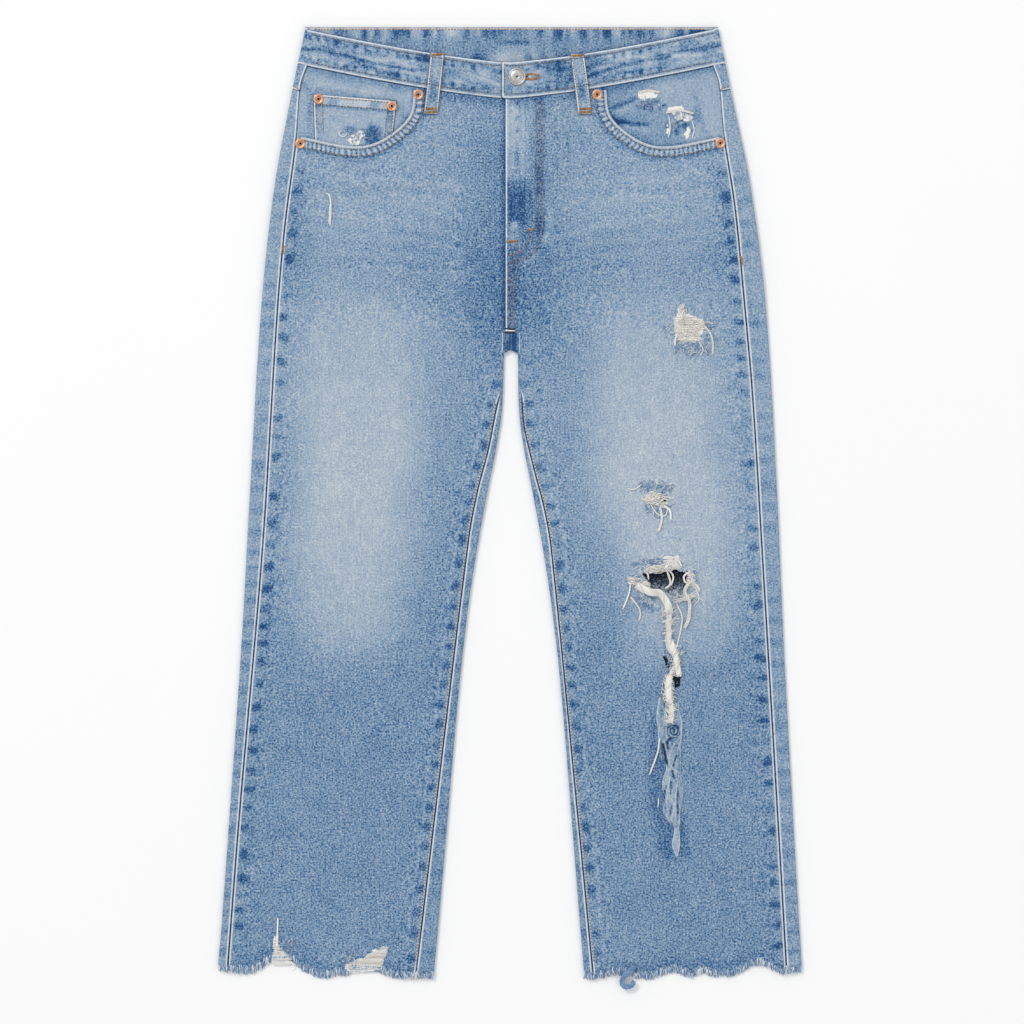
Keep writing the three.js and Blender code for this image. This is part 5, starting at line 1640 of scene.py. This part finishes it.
class Shader:
    """A short way to write a node material."""

    def __init__(self, name):
        self.material = bpy.data.materials.new(name)
        self.material.use_nodes = True
        self.tree = self.material.node_tree
        self.tree.nodes.clear()
        self.output = self.tree.nodes.new("ShaderNodeOutputMaterial")
        self.surface = self.tree.nodes.new("ShaderNodeBsdfPrincipled")
        self.wire(self.surface.outputs[0], self.output.inputs["Surface"])
        self.place = self.tree.nodes.new("ShaderNodeTexCoord").outputs["Object"]

    def wire(self, value, socket):
        if isinstance(value, bpy.types.NodeSocket):
            self.tree.links.new(value, socket)
        else:
            socket.default_value = value

    def set(self, **values):
        for key, value in values.items():
            self.wire(value, self.surface.inputs[key.replace("_", " ")])

    def math(self, operation, a, b=0.0):
        node = self.tree.nodes.new("ShaderNodeMath")
        node.operation = operation
        for socket, value in zip(node.inputs, (a, b)):
            self.wire(value, socket)
        return node.outputs[0]

    def add(self, *values):
        total = values[0]
        for value in values[1:]:
            total = self.math("ADD", total, value)
        return total

    def times(self, a, b):
        return self.math("MULTIPLY", a, b)

    def stretch(self, scale, turn=0.0):
        node = self.tree.nodes.new("ShaderNodeMapping")
        node.inputs["Scale"].default_value = scale
        node.inputs["Rotation"].default_value = (0, 0, turn)
        self.wire(self.place, node.inputs["Vector"])
        return node.outputs[0]

    def noise(self, size, detail=2.0, rough=0.5, warp=0.0, where=None):
        """Noise about 0, whose lumps are `size` millimetres across."""
        node = self.tree.nodes.new("ShaderNodeTexNoise")
        node.inputs["Scale"].default_value = 1 / (size * MM)
        node.inputs["Detail"].default_value = detail
        node.inputs["Roughness"].default_value = rough
        node.inputs["Distortion"].default_value = warp
        self.wire(where or self.place, node.inputs["Vector"])
        return self.math("SUBTRACT", node.outputs[0], 0.5)

    def fit(self, value, low, high, out_low=0.0, out_high=1.0):
        node = self.tree.nodes.new("ShaderNodeMapRange")
        node.interpolation_type = "SMOOTHSTEP"
        self.wire(value, node.inputs["Value"])
        for key, number in (("From Min", low), ("From Max", high), ("To Min", out_low),
                            ("To Max", out_high)):
            self.wire(number, node.inputs[key])
        return node.outputs[0]

    def ramp(self, value, stops):
        node = self.tree.nodes.new("ShaderNodeValToRGB")
        ramp_ = node.color_ramp
        while len(ramp_.elements) < len(stops):
            ramp_.elements.new(0.5)
        for element, (position, colour) in zip(ramp_.elements, stops):
            element.position, element.color = position, colour
        self.wire(value, node.inputs["Fac"])
        return node.outputs["Color"]

    def mix(self, amount, first, second):
        node = self.tree.nodes.new("ShaderNodeMix")
        node.data_type = "RGBA"
        self.wire(amount, node.inputs[0])
        self.wire(first, node.inputs[6])
        self.wire(second, node.inputs[7])
        return node.outputs[2]

    def read(self, name):
        node = self.tree.nodes.new("ShaderNodeAttribute")
        node.attribute_name = name
        return node.outputs["Fac"]

    def twill(self, pitch, turn):
        """Diagonal ridges from 0 to 1, `pitch` millimetres apart."""
        node = self.tree.nodes.new("ShaderNodeTexWave")
        node.wave_type, node.bands_direction = "BANDS", "X"
        node.inputs["Scale"].default_value = 2 * math.pi / (20 * pitch * MM)
        node.inputs["Distortion"].default_value = 0.0
        self.wire(self.stretch((1, 1, 1), turn), node.inputs["Vector"])
        return node.outputs["Fac"]

    def bump(self, height, strength, distance):
        node = self.tree.nodes.new("ShaderNodeBump")
        node.inputs["Strength"].default_value = strength
        node.inputs["Distance"].default_value = distance * MM
        self.wire(height, node.inputs["Height"])
        self.wire(node.outputs[0], self.surface.inputs["Normal"])


WASH = [(0.0, rgb(24, 68, 120)), (0.18, rgb(66, 108, 152)), (0.36, rgb(109, 141, 171)),
        (0.52, rgb(134, 159, 186)), (0.78, rgb(170, 184, 197)), (1.0, rgb(200, 208, 214))]
WEFT_STOPS = [(0.0, rgb(206, 203, 196)), (0.5, rgb(240, 237, 231)), (1.0, rgb(252, 251, 248))]


def denim(name, contrast=1.0, twill_turn=1.08):
    """Washed denim: `tone` picks the wash, `bare` the white weft, `edge` the distance to a seam edge,
    which is worn light and, right at the edge, painted dark as the shade in the seam's gap.
    """
    s = Shader(name)
    ridge = s.math("SUBTRACT", s.twill(1.05, twill_turn), 0.5)
    grain = s.times(s.noise(1.75, 1.5, 0.55), s.fit(s.read("tone"), 0.35, 0.85, 1.25, 0.62))
    speck = s.noise(0.9, 1.0)
    mottle = s.noise(5.5, 3.0, 0.55, warp=0.6)
    cloud = s.noise(28, 3.0, 0.6)
    slub = s.noise(1.3, 2.0, where=s.stretch((1, 0.10, 1)))
    weft_slub = s.noise(1.3, 2.0, where=s.stretch((0.10, 1, 1)))
    curl = s.math("ABSOLUTE", s.noise(4.2, 1.0, 0.5, warp=1.6))
    curl = s.times(s.fit(curl, 0.045, 0.0), s.fit(s.noise(7, 1.0), -0.08, 0.10))
    edge = s.read("edge")
    # painted shade: dark within a millimetre of a seam edge, for the gap between the pieces
    groove_shade = s.fit(edge, 0.9, 0.15)
    ridge_light = s.times(s.fit(edge, 0.5, 1.0), s.fit(edge, 2.6, 1.7))
    worn = s.times(ridge_light, s.fit(s.noise(5, 2.0), -0.25, 0.0, 0.55, 1.0))
    tone = s.add(s.read("tone"), s.times(grain, 1.32 * contrast),
                 s.times(speck, 0.42 * contrast), s.times(mottle, 0.15 * contrast),
                 s.times(cloud, 0.08), s.times(slub, 0.34 * contrast),
                 s.times(weft_slub, 0.15 * contrast), s.times(ridge, 0.10),
                 s.times(curl, 0.20 * contrast), s.times(groove_shade, -0.55))
    blue = s.mix(s.times(worn, 0.85), s.ramp(tone, WASH), rgb(226, 228, 228))
    # `inner` picks the greys of the reverse face; their near-black end is also painted shade in the
    # knee hole and in the torn strip's grooves
    grey = s.mix(s.fit(s.read("inner"), 0.0, 1.0, 0.0, 0.95), blue,
                 s.ramp(tone, [(0.0, rgb(14, 16, 20)), (0.3, rgb(66, 76, 90)),
                               (0.55, rgb(140, 152, 166)), (1.0, rgb(212, 217, 220))]))
    lines = s.noise(0.75, 1.0, where=s.stretch((0.12, 1, 1)))
    weft = s.ramp(s.add(s.times(lines, 1.3), s.times(mottle, 0.6), 0.52), WEFT_STOPS)
    amount = s.fit(s.add(s.read("bare"), s.times(s.noise(2.2, 2.0), 0.7)), 0.40, 0.62)
    s.set(Base_Color=s.mix(amount, grey, weft), Roughness=0.9, Specular_IOR_Level=0.18,
          Sheen_Weight=0.12, Sheen_Roughness=0.6)
    s.bump(s.add(s.times(ridge, 0.35), s.times(grain, 0.8), s.times(slub, 0.5),
                 s.times(mottle, 0.8), s.times(s.times(amount, lines), 1.2)), 0.55, 0.5)
    return s.material


def thread(name, stops):
    """Spun thread: `tone` picks the colour of each one."""
    s = Shader(name)
    fibre = s.noise(0.5, 2.0, where=s.stretch((1, 0.5, 1)))
    tone = s.add(s.read("tone"), s.times(fibre, 0.35), s.times(s.noise(3, 1.0), 0.25))
    s.set(Base_Color=s.ramp(tone, stops), Roughness=0.85, Specular_IOR_Level=0.2,
          Sheen_Weight=0.15)
    s.bump(fibre, 0.5, 0.3)
    return s.material


def metal(name, stops, roughness):
    """Turned and tumbled metal with scuffs; its dark copies are the painted shade in recesses and gaps.
    """
    s = Shader(name)
    scuff = s.noise(2.2, 4.0, 0.65)
    fine = s.noise(0.9, 2.0, where=s.stretch((1, 1, 4)))
    tone = s.add(0.55, s.times(scuff, 0.9), s.times(fine, 0.4))
    s.set(Base_Color=s.ramp(tone, stops), Metallic=0.85,
          Roughness=s.fit(scuff, -0.3, 0.3, roughness - 0.1, roughness + 0.15))
    s.bump(s.add(fine, scuff), 0.25, 0.12)
    return s.material


MATERIALS = {
    "front": denim("denim_front_washed"),
    "back": denim("denim_back_washed", 0.9),
    "band": denim("denim_band_washed", 0.85, twill_turn=0.5),
    "trim": denim("denim_trim_washed", 0.85, twill_turn=2.0),
    "pocket": denim("denim_pocket_washed", 0.7),
    "white": thread("weft_threads", WEFT_STOPS),
    "fray": thread("frayed_threads", [(0.0, rgb(70, 108, 156)), (0.4, rgb(110, 146, 186)),
                                      (0.8, rgb(160, 186, 212)), (1.0, rgb(234, 237, 240))]),
    "tan": thread("seam_thread_worn", [(0.0, rgb(62, 58, 64)), (0.5, rgb(116, 92, 76)),
                                       (1.0, rgb(166, 134, 104))]),
    "orange": thread("seam_thread_orange", [(0.0, rgb(128, 88, 48)), (0.6, rgb(178, 128, 74)),
                                            (1.0, rgb(214, 172, 120))]),
    "rust": thread("seam_thread_rust", [(0.0, rgb(104, 76, 60)), (0.5, rgb(156, 112, 78)),
                                        (1.0, rgb(198, 152, 108))]),
    "tape": thread("zip_tape_woven", [(0.0, rgb(150, 138, 112)), (1.0, rgb(198, 188, 164))]),
    "nickel": metal("button_nickel", [(0.0, rgb(104, 104, 106)), (0.4, rgb(176, 176, 176)),
                                      (1.0, rgb(232, 231, 228))], 0.38),
    # the dark metals are painted shade in the button's and rivets' hollows and in the crotch gaps
    "dark": metal("painted_shade_dark", [(0.0, rgb(34, 34, 38)), (1.0, rgb(82, 82, 88))], 0.5),
    "copper": metal("rivet_copper", [(0.0, rgb(150, 92, 66)), (0.45, rgb(214, 156, 122)),
                                     (1.0, rgb(248, 214, 188))], 0.42),
    "copper_dark": metal("rivet_hollow_painted_shade", [(0.0, rgb(20, 14, 14)), (1.0, rgb(62, 38, 32))], 0.5),
}


def floor_material():
    s = Shader("floor_paper")
    tone = s.add(0.5, s.times(s.noise(160, 2.0), 0.3))
    s.set(Base_Color=s.ramp(tone, [(0.0, (0.94, 0.94, 0.94, 1)), (1.0, (0.97, 0.97, 0.97, 1))]),
          Roughness=0.95, Specular_IOR_Level=0.05)
    return s.material


# ------------------------------------------------------------- button and rivets


def lathe(name, centre, profile, segments=64, wave=None):
    """A closed turned solid from (radius, z) pairs that start and end on the axis."""
    cx, cy = centre
    angle = np.linspace(0, 2 * math.pi, segments, endpoint=False)
    points, faces = [(cx, cy, profile[0][1])], []
    rings = profile[1:-1]
    for radius, z in rings:
        grow = 1 + (wave(radius, angle) if wave else 0 * angle)
        points += [(cx + radius * g * math.cos(a), cy + radius * g * math.sin(a), z)
                   for a, g in zip(angle, grow)]
    points.append((cx, cy, profile[-1][1]))
    last = len(points) - 1
    for k in range(segments):
        n = (k + 1) % segments
        faces.append((0, 1 + n, 1 + k))
        for r in range(len(rings) - 1):
            low = 1 + r * segments
            faces.append((low + k, low + n, low + segments + n, low + segments + k))
        top = 1 + (len(rings) - 1) * segments
        faces.append((top + k, top + n, last))
    return make_mesh(name, points, faces, {"tone": np.full(len(points), 0.5)})


def build_button():
    foot, cap = TOP + GAP, BUTTON_CAP
    body = lathe("button_cap", (BUTTON_X, BUTTON_Y), [
        (0, foot), (4.5, foot), (4.5, foot + 0.5), (2.5, foot + 0.8), (2.5, cap - 0.1),
        (5.5, cap), (7.9, cap + 0.05), (8.5, cap + 0.35), (8.75, cap + 0.9), (8.6, cap + 1.5),
        (8.1, cap + 1.9), (7.5, cap + 2.0), (7.05, cap + 1.75), (6.7, cap + 1.35),
        (6.3, cap + 1.45), (5.6, cap + 1.8), (4.5, cap + 2.0), (3.2, cap + 2.08),
        (2.2, cap + 2.05), (1.7, cap + 1.9), (1.4, cap + 1.5), (0, cap + 1.45)], 96)
    # painted shade: a dark dot in the dip at the middle and a dark ring in the groove round the face
    centre = [(BUTTON_X, BUTTON_Y, cap + 1.3), (BUTTON_X + 0.01, BUTTON_Y, cap + 1.66)]
    circle = np.linspace(0, 2 * math.pi, 49)
    rim = np.stack([BUTTON_X + 6.75 * np.cos(circle), BUTTON_Y + 6.75 * np.sin(circle),
                    np.full(49, cap + 1.34)], 1)
    recess_shade = tube_mesh("button_painted_shade", [centre, rim], [0.9, 0.14], sides=12)
    return body, recess_shade


def build_rivet(where):
    x, y, rise = RIVETS[where]
    low = TOP + GAP + rise
    spin = RNG.uniform(0, 6)

    def petals(radius, angle):
        return (0.07 * np.cos(6 * angle + spin)) * ((radius > 1.2) & (radius < 2.9))

    body = lathe(f"rivet_{where}_cap", (x, y), [
        (0, low), (4.7, low), (5.1, low + 0.25), (5.2, low + 0.6), (5.0, low + 1.0),
        (4.5, low + 1.3), (3.9, low + 1.35), (3.3, low + 1.2), (2.8, low + 0.9),
        (2.3, low + 0.85), (1.9, low + 0.9), (1.3, low + 0.95), (0.7, low + 0.95),
        (0, low + 0.95)], 60, petals)
    # painted shade: a dark disc in the burred hollow in the middle, and a dark ring with six worn teeth
    # round it
    circle = np.linspace(0, 2 * math.pi, 37)
    radius = 2.35 * (1 + 0.10 * np.cos(6 * circle + spin))
    ring = np.stack([x + radius * np.cos(circle), y + radius * np.sin(circle),
                     np.full(37, low + 0.80)], 1)
    hollow = [(x, y, low + 0.6), (x + 0.01, y, low + 1.12)]
    hollow_shade = tube_mesh(f"rivet_{where}_ring", [ring, hollow], [0.24, 1.35], sides=16)
    return body, hollow_shade


# --------------------------------------------------------------- the stage

VIEW_X, VIEW_Y, VIEW_WIDTH = 2.0 * MM, -10.5 * MM, 1.024
LENS, SENSOR = 120.0, 36.0


def build_stage():
    scene = bpy.context.scene
    camera = bpy.data.cameras.new("camera")
    camera.lens, camera.sensor_width = LENS, SENSOR
    camera.clip_start, camera.clip_end = 0.05, 50
    eye = bpy.data.objects.new("camera", camera)
    eye.location = (VIEW_X, VIEW_Y, VIEW_WIDTH * LENS / SENSOR + TOP * MM / 2)
    scene.collection.objects.link(eye)
    scene.camera = eye
    scene.view_settings.view_transform = "Standard"
    scene.view_settings.look = "None"

    world = bpy.data.worlds.new("studio")
    world.use_nodes = True
    background = world.node_tree.nodes["Background"]
    background.inputs["Color"].default_value = (1.0, 1.0, 1.0, 1)
    background.inputs["Strength"].default_value = WORLD_LIGHT
    scene.world = world

    for name, place, size, power in KEY_LIGHTS:
        light = bpy.data.lights.new(name, "AREA")
        light.shape, light.size = "DISK", size
        light.energy = power
        lamp = bpy.data.objects.new(name, light)
        lamp.location = place
        aim = Vector((0, 0, 0)) - Vector(place)
        lamp.rotation_mode = "QUATERNION"
        lamp.rotation_quaternion = aim.to_track_quat("-Z", "Y")
        scene.collection.objects.link(lamp)

    span = 40.0
    floor = make_mesh("floor", [(-span / MM, -span / MM, -0.3), (span / MM, -span / MM, -0.3),
                                (span / MM, span / MM, -0.3), (-span / MM, span / MM, -0.3)],
                      [(0, 1, 2, 3)])
    floor.data.materials.append(floor_material())
    floor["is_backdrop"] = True


WORLD_LIGHT = 0.70
KEY_LIGHTS = [("key_light", (-3.6, 4.6, 6.4), 2.4, 250.0), ("fill_light", (5.0, -3.0, 7.0), 6.0, 90.0)]


# ------------------------------------------------------------------- putting together


def finish_piece(obj, material, nodes=()):
    obj.data.materials.append(MATERIALS[material])
    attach(obj, "root")
    if nodes:
        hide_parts(*nodes)
    return obj


build_stage()

pieces = {}
sizes = {}


def add_cloth(key, made, material, node):
    obj, sizes[key] = made
    pieces[key] = finish_piece(obj, material, [node])
    return obj


# hidden pieces first, then upward in the order in which they lie
BACK_POCKET_SIDES = ([(44, 250), (32, 366)], [(168, 262), (176, 392)])
POCKET_POINT = ([44, 112, 168], [0, -16.5, 0])     # how far the lower edge drops along x
for which, sign in SIDES.items():
    left_line, right_line = [[(sign * x, y) for x, y in side] for side in BACK_POCKET_SIDES]
    grid = plate_grid(left_line, right_line, 60, 60)
    x, y = grid[..., 0], grid[..., 1]
    dip = np.interp(np.abs(x[0]), *POCKET_POINT) * ramp(np.linspace(1, 0, 60), 0, 1)[:, None]
    grid[..., 1] = y + dip
    add_cloth(f"back_pocket_{which}", build_plate(f"back_pocket_{which}_cloth", grid, 0.03,
                                                  WALL - 0.05, 0.5, 101, 0.12),
              "back", f"back_pocket_{which}")
for where, x in (("right", -125), ("centre", 0), ("left", 125)):
    key = f"belt_loop_back_{where}"
    add_cloth(key, build_loop(key + "_cloth", x, WAIST_Y - 1, x, 411, 0.45, 0.75, True),
              "trim", key)
for which in SIDES:
    add_cloth(f"back_panel_{which}", build_back(which), "back", f"back_panel_{which}")
    add_cloth(f"back_yoke_{which}", build_yoke(which), "back", f"back_yoke_{which}")
    add_cloth(f"pocket_facing_{which}", build_facing(which), "pocket",
              f"pocket_facing_{which}")
add_cloth("coin_pocket", build_coin_pocket(), "pocket", "coin_pocket")

shield = plate_grid([(-11, 240), (-11, 401)], [(22, 240), (31, 262), (31, 401)], 90, 24)
add_cloth("fly_shield", build_plate("fly_shield_cloth", shield, LIFT + WALL + GAP, 1.0, 0.55,
                                    111, 0.1), "trim", "fly_shield")
tape = plate_grid([(-7, 245), (-7, 400)], [(17, 245), (17, 400)], 120, 16)
add_cloth("zip", build_plate("zip_tape", tape, LIFT + ZIP_LOW, 0.8, 0.5, 112, 0.05), "tape",
          "zip")
for which in SIDES:
    add_cloth(f"front_panel_{which}", build_front(which), "front", f"front_panel_{which}")
add_cloth("waistband", build_waistband(), "band", "waistband")
# the front loops' upper and lower ends, as x and y of each
FRONT_LOOPS = {"right": (-72.5, 448.5, -79, 386.5), "left": (67, 447.5, 75, 386.5)}
for which, ends in FRONT_LOOPS.items():
    key = f"belt_loop_front_{which}"
    add_cloth(key, build_loop(key + "_cloth", *ends, TOP + GAP + 0.2), "trim", key)

surface = Surface(CLOTH)
add_cloth("torn_strip", build_torn_strip(surface), "trim", "torn_strip")

# ---- metal

body, recess_shade = build_button()
finish_piece(body, "nickel", ["button"])
finish_piece(recess_shade, "dark", ())
for where in RIVETS:
    body, hollow_shade = build_rivet(where)
    finish_piece(body, "copper", [f"rivet_{where}"])
    finish_piece(hollow_shade, "copper_dark", ())

# ---- sewing


def offset_line(points, away, sign):
    """The line moved sideways, to its left where sign is 1 and to its right where it is -1."""
    points = np.array(points, dtype=float)
    ahead = np.gradient(points, axis=0)
    ahead /= np.maximum(np.linalg.norm(ahead, axis=1), 1e-9)[:, None]
    return points + sign * away * np.stack([-ahead[:, 1], ahead[:, 0]], 1)


def band_line(start, end, up, back=False):
    x = spread(start, end, 6)
    y = (band_low(BAND_HALF) if back else band_low(x)) + up + 0 * x
    return list(zip(x, y))


def level(path):
    """The path with every point as high as its highest."""
    path[:, 2] = path[:, 2].max()
    return path


goes_with = {key: [] for key in pieces}


def sew(name, key, lines, material="tan", **options):
    made = finish_piece(stitches(name, surface, lines, **options), material)
    goes_with[key].append(made)


def tack(name, key, places):
    paths = [p for place in places for p in bar_tack(surface, *place)]
    made = tube_mesh(name, paths, [0.36] * len(paths), sides=5,
                     attributes=list(RNG.uniform(0.1, 0.9, len(paths))))
    goes_with[key].append(finish_piece(made, "orange"))


sew("waistband_stitches", "waistband",
    [band_line(-198, -10, 4.6), band_line(-198, -10, 32.6), band_line(-5, 203, 4.6),
     band_line(-5, 203, 32.6), [(-5.6, band_low(7) + 5), (-5.6, band_low(7) + 32)]])
sew("waistband_top_stitches", "waistband", [band_line(-196, 196, 35.2, True)], "orange")
for which, sign in SIDES.items():
    leg = LEGS[which]
    curve = scoop_curve(sign)
    rows = [offset_line(curve[::4], away, -sign) for away in (3.1, 9.6)]
    inseam_y = spread(HEM_Y + 14, 100, 12)
    inseam = [(sign * (float(leg.inseam(y)) + 1.9), y) for y in inseam_y]
    sew(f"front_{which}_stitches", f"front_panel_{which}", [*map(list, rows), inseam])
    sew(f"yoke_{which}_stitches", f"back_yoke_{which}",
        [[(sign * (float(leg.outseam(411)) + 0.8), 411.5), (sign * (float(leg.side(411)) - 1.5),
                                                          415)]])
sew("fly_stitches", "front_panel_left", [
    [(26.5, 400), (26.3, 350), (26.2, 300), (25.4, 282), (22, 266), (12, 251), (-3, 244.5)],
    [(33, 400), (32.8, 350), (32.6, 300), (31.8, 274), (27, 256), (15, 243), (-3, 237.5)],
    [(6, 259), (6.4, 240), (6, 226), (3, 221), (-3, 220)],
    [(-1.5, 236), (-1.2, 204), (-0.8, 173)], [(3.4, 218), (3.6, 200), (4, 173)]],
    radius=0.5, material="rust")
sew("coin_stitches", "coin_pocket", [
    [(-195, 404.8), (-115.5, 398.2)], [(-194, 397), (-117, 390.6)],
    [(-194.6, 406), (-193, 372)], [(-187.5, 405), (-186.4, 366)],
    [(-115.6, 399), (-119, 362)], [(-121.8, 399), (-125.4, 360)]])
for which, (tx, ty, bx, by) in FRONT_LOOPS.items():
    key = f"belt_loop_front_{which}"
    sew(f"{key}_stitches", key, [[(bx + d, by + 3), ((bx + tx) / 2 + d, (by + ty) / 2),
                                  (tx + d, ty - 3)] for d in (-5.0, 5.0)], pitch=2.6, length=1.8)
    tack(f"{key}_tacks", key, [((tx, ty - 2.2), (1, 0.06), 12), ((bx, by + 2.2), (1, 0.05), 12),
                              ((bx + 0.2, by + 5.6), (1, 0.05), 11)])
tack("fly_tacks", "front_panel_left", [((1.5, 259.5), (1, 0.05), 11), ((20, 271), (0.9, 0.5), 6)])
# painted shade: dark rods stand for the gaps either side of the crotch's white bar
for name, kind, radius, levels in (("crotch_gap_shade", "dark", 0.8, (169.2, 172.7)),
                                   ("crotch_bar", "white", 0.7, (170.9,))):
    paths = [level(surface.lay([(-5.2, y), (0, y - 0.2), (4.8, y - 0.3)], 0.2, 0.5))
             for y in levels]
    made = tube_mesh(name, paths, [radius] * len(paths), sides=8, attributes=[0.5] * len(paths))
    goes_with["front_panel_left"].append(finish_piece(made, kind))
for which, place in {"right": ((-226.8, 251.5), (0.12, 1), 8),
                     "left": ((231.4, 240.5), (-0.08, 1), 8)}.items():
    tack(f"outseam_tack_{which}", f"front_panel_{which}", [place])

# the buttonhole's close thread, round the eye and along both sides of the slot
hole_paths = []
for at in spread(6.5, 22, 0.75):
    gap = 0.85 + 0.9 * ramp(at, 8, 14) - 1.5 * ramp(at, 15, 22)
    for side_ in (-1, 1):
        hole_paths.append(level(surface.lay([
            (BUTTON_X + at, BUTTON_Y + side_ * gap),
            (BUTTON_X + at + 0.2, BUTTON_Y + side_ * (gap + 1.9))], 0.3, TOP)))
made = tube_mesh("buttonhole_thread", hole_paths, [0.4] * len(hole_paths), sides=5,
                 attributes=list(RNG.uniform(0.2, 0.9, len(hole_paths))))
goes_with["waistband"].append(finish_piece(made, "orange"))

# ---- torn places

# The lowest that threads lie where there is no cloth under them: in the left leg's holes,
# on the right leg and in the pocket, and for frayed ends in the pocket.
LEG_LEAST = ON_LEG - GAP - 0.2
LOW_LEAST = 2.6
POCKET_LEAST = 4.0


def add_threads(name, key, paths, radii, material="white", tones=None, sides=6, nodes=(),
                slot=None):
    tones = tones or list(RNG.uniform(0.15, 0.95, len(paths)))
    made = tube_mesh(name, paths, radii, sides=sides, attributes=tones)
    finish_piece(made, material, nodes)
    goes_with[key].append(made)


def bundles(lines, least):
    """The threads of several bundles in one list, with their radii."""
    paths, radii = [], []
    for line, count, radius, width, twist in lines:
        made, size = strands(surface, line, count, radius, max(width, 0.01), twist, least)
        paths += made
        radii += size
    return paths, radii


def add_frayed(name, key, areas, least, *lengths):
    """Curled, frayed ends of thread that cover oval areas."""
    paths, radii, tones = curls(surface, areas, least, *lengths)
    add_threads(name, key, paths, radii, "fray", tones, 5)


for which in SIDES:
    wefts = []
    for patch in WHITE_PATCHES[which]:
        wefts += patch_wefts(surface, patch, 1.15, LEG_LEAST if which == "left" else LOW_LEAST)
    add_threads(f"weft_threads_{which}", f"front_panel_{which}", wefts,
                [0.42] * len(wefts), slot="weft", sides=5)

add_threads("loose_threads_left", "front_panel_left", *bundles(LOOSE_WHITE, LEG_LEAST),
            slot="weft")
add_threads("torn_yarns_bundle", "front_panel_left",
            *bundles([(MAIN_BUNDLE, 7, 0.55, 2.3, 15), *ROPES], LEG_LEAST),
            nodes=["torn_yarns"], slot="weft", sides=8)
add_threads("loose_threads_right", "front_panel_right", *bundles(LOOSE_RIGHT, LOW_LEAST),
            slot="weft")
add_threads("loose_threads_pocket", "pocket_facing_left",
            *bundles(LOOSE_LEFT_POCKET, LOW_LEAST), slot="weft")

# Where frayed ends stand: middle x and y, radii, how many.
FRAYED = {
    "left": [(182, 153, 18, 7, 130), (147, 14, 17, 6, 110), (148, -62, 26, 5, 120),
             (138, -96, 12, 7, 90), (200, 171, 5, 12, 40), (124, -80, 6, 5, 30),
             (183, -76, 5, 6, 30), (174, -98, 14, 5, 40), (159, -210, 6, 10, 40),
             (158, 170, 5, 8, 20), (147, -8, 14, 8, 60), (160, -160, 7, 14, 40)],
    "right": [(-223, -446, 11, 9, 60), (-160, -456, 9, 7, 50), (-127, -448, 6, 6, 30)],
}
paths, radii = fuzz(surface, WHITE_FUZZ, LEG_LEAST)
add_threads("torn_fuzz_left", "front_panel_left", paths, radii, slot="weft", sides=4)

for which, areas in FRAYED.items():
    add_frayed(f"frayed_ends_{which}", f"front_panel_{which}", areas, LEG_LEAST)
add_frayed("frayed_ends_pocket", "pocket_facing_left",
           [(138, 398, 13, 6, 60), (172, 382, 15, 8, 60)], POCKET_LEAST, (2.0, 5.0))
add_frayed("frayed_ends_coin", "coin_pocket", [(-154, 365, 10, 9, 45)], POCKET_LEAST, (2.0, 5.0))
for which in SIDES:
    paths, radii, tones = hem_fringe(which)
    add_threads(f"hem_fringe_{which}", f"front_panel_{which}", paths, radii, "fray", tones, 4)
paths, radii, tones = hem_loop(surface)
add_threads("hem_tag_left", "front_panel_left", paths, radii, "fray", tones, 7)

# ---- what each sheet lies on

LIES_ON = {
    "back_panel": ["back_pocket_{}"], "back_yoke": ["back_pocket_{}"],
    "pocket_facing": ["back_panel_{}"], "front_panel": ["back_panel_{}"],
    "coin_pocket": ["pocket_facing_right"], "fly_shield": ["back_panel_right"],
    "zip": ["fly_shield"], "waistband": ["front_panel_right", "front_panel_left"],
    "belt_loop_front": ["waistband"], "torn_strip": ["front_panel_left"],
}
for key, obj in pieces.items():
    kind = key if key in LIES_ON else key.rsplit("_", 1)[0]

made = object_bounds()
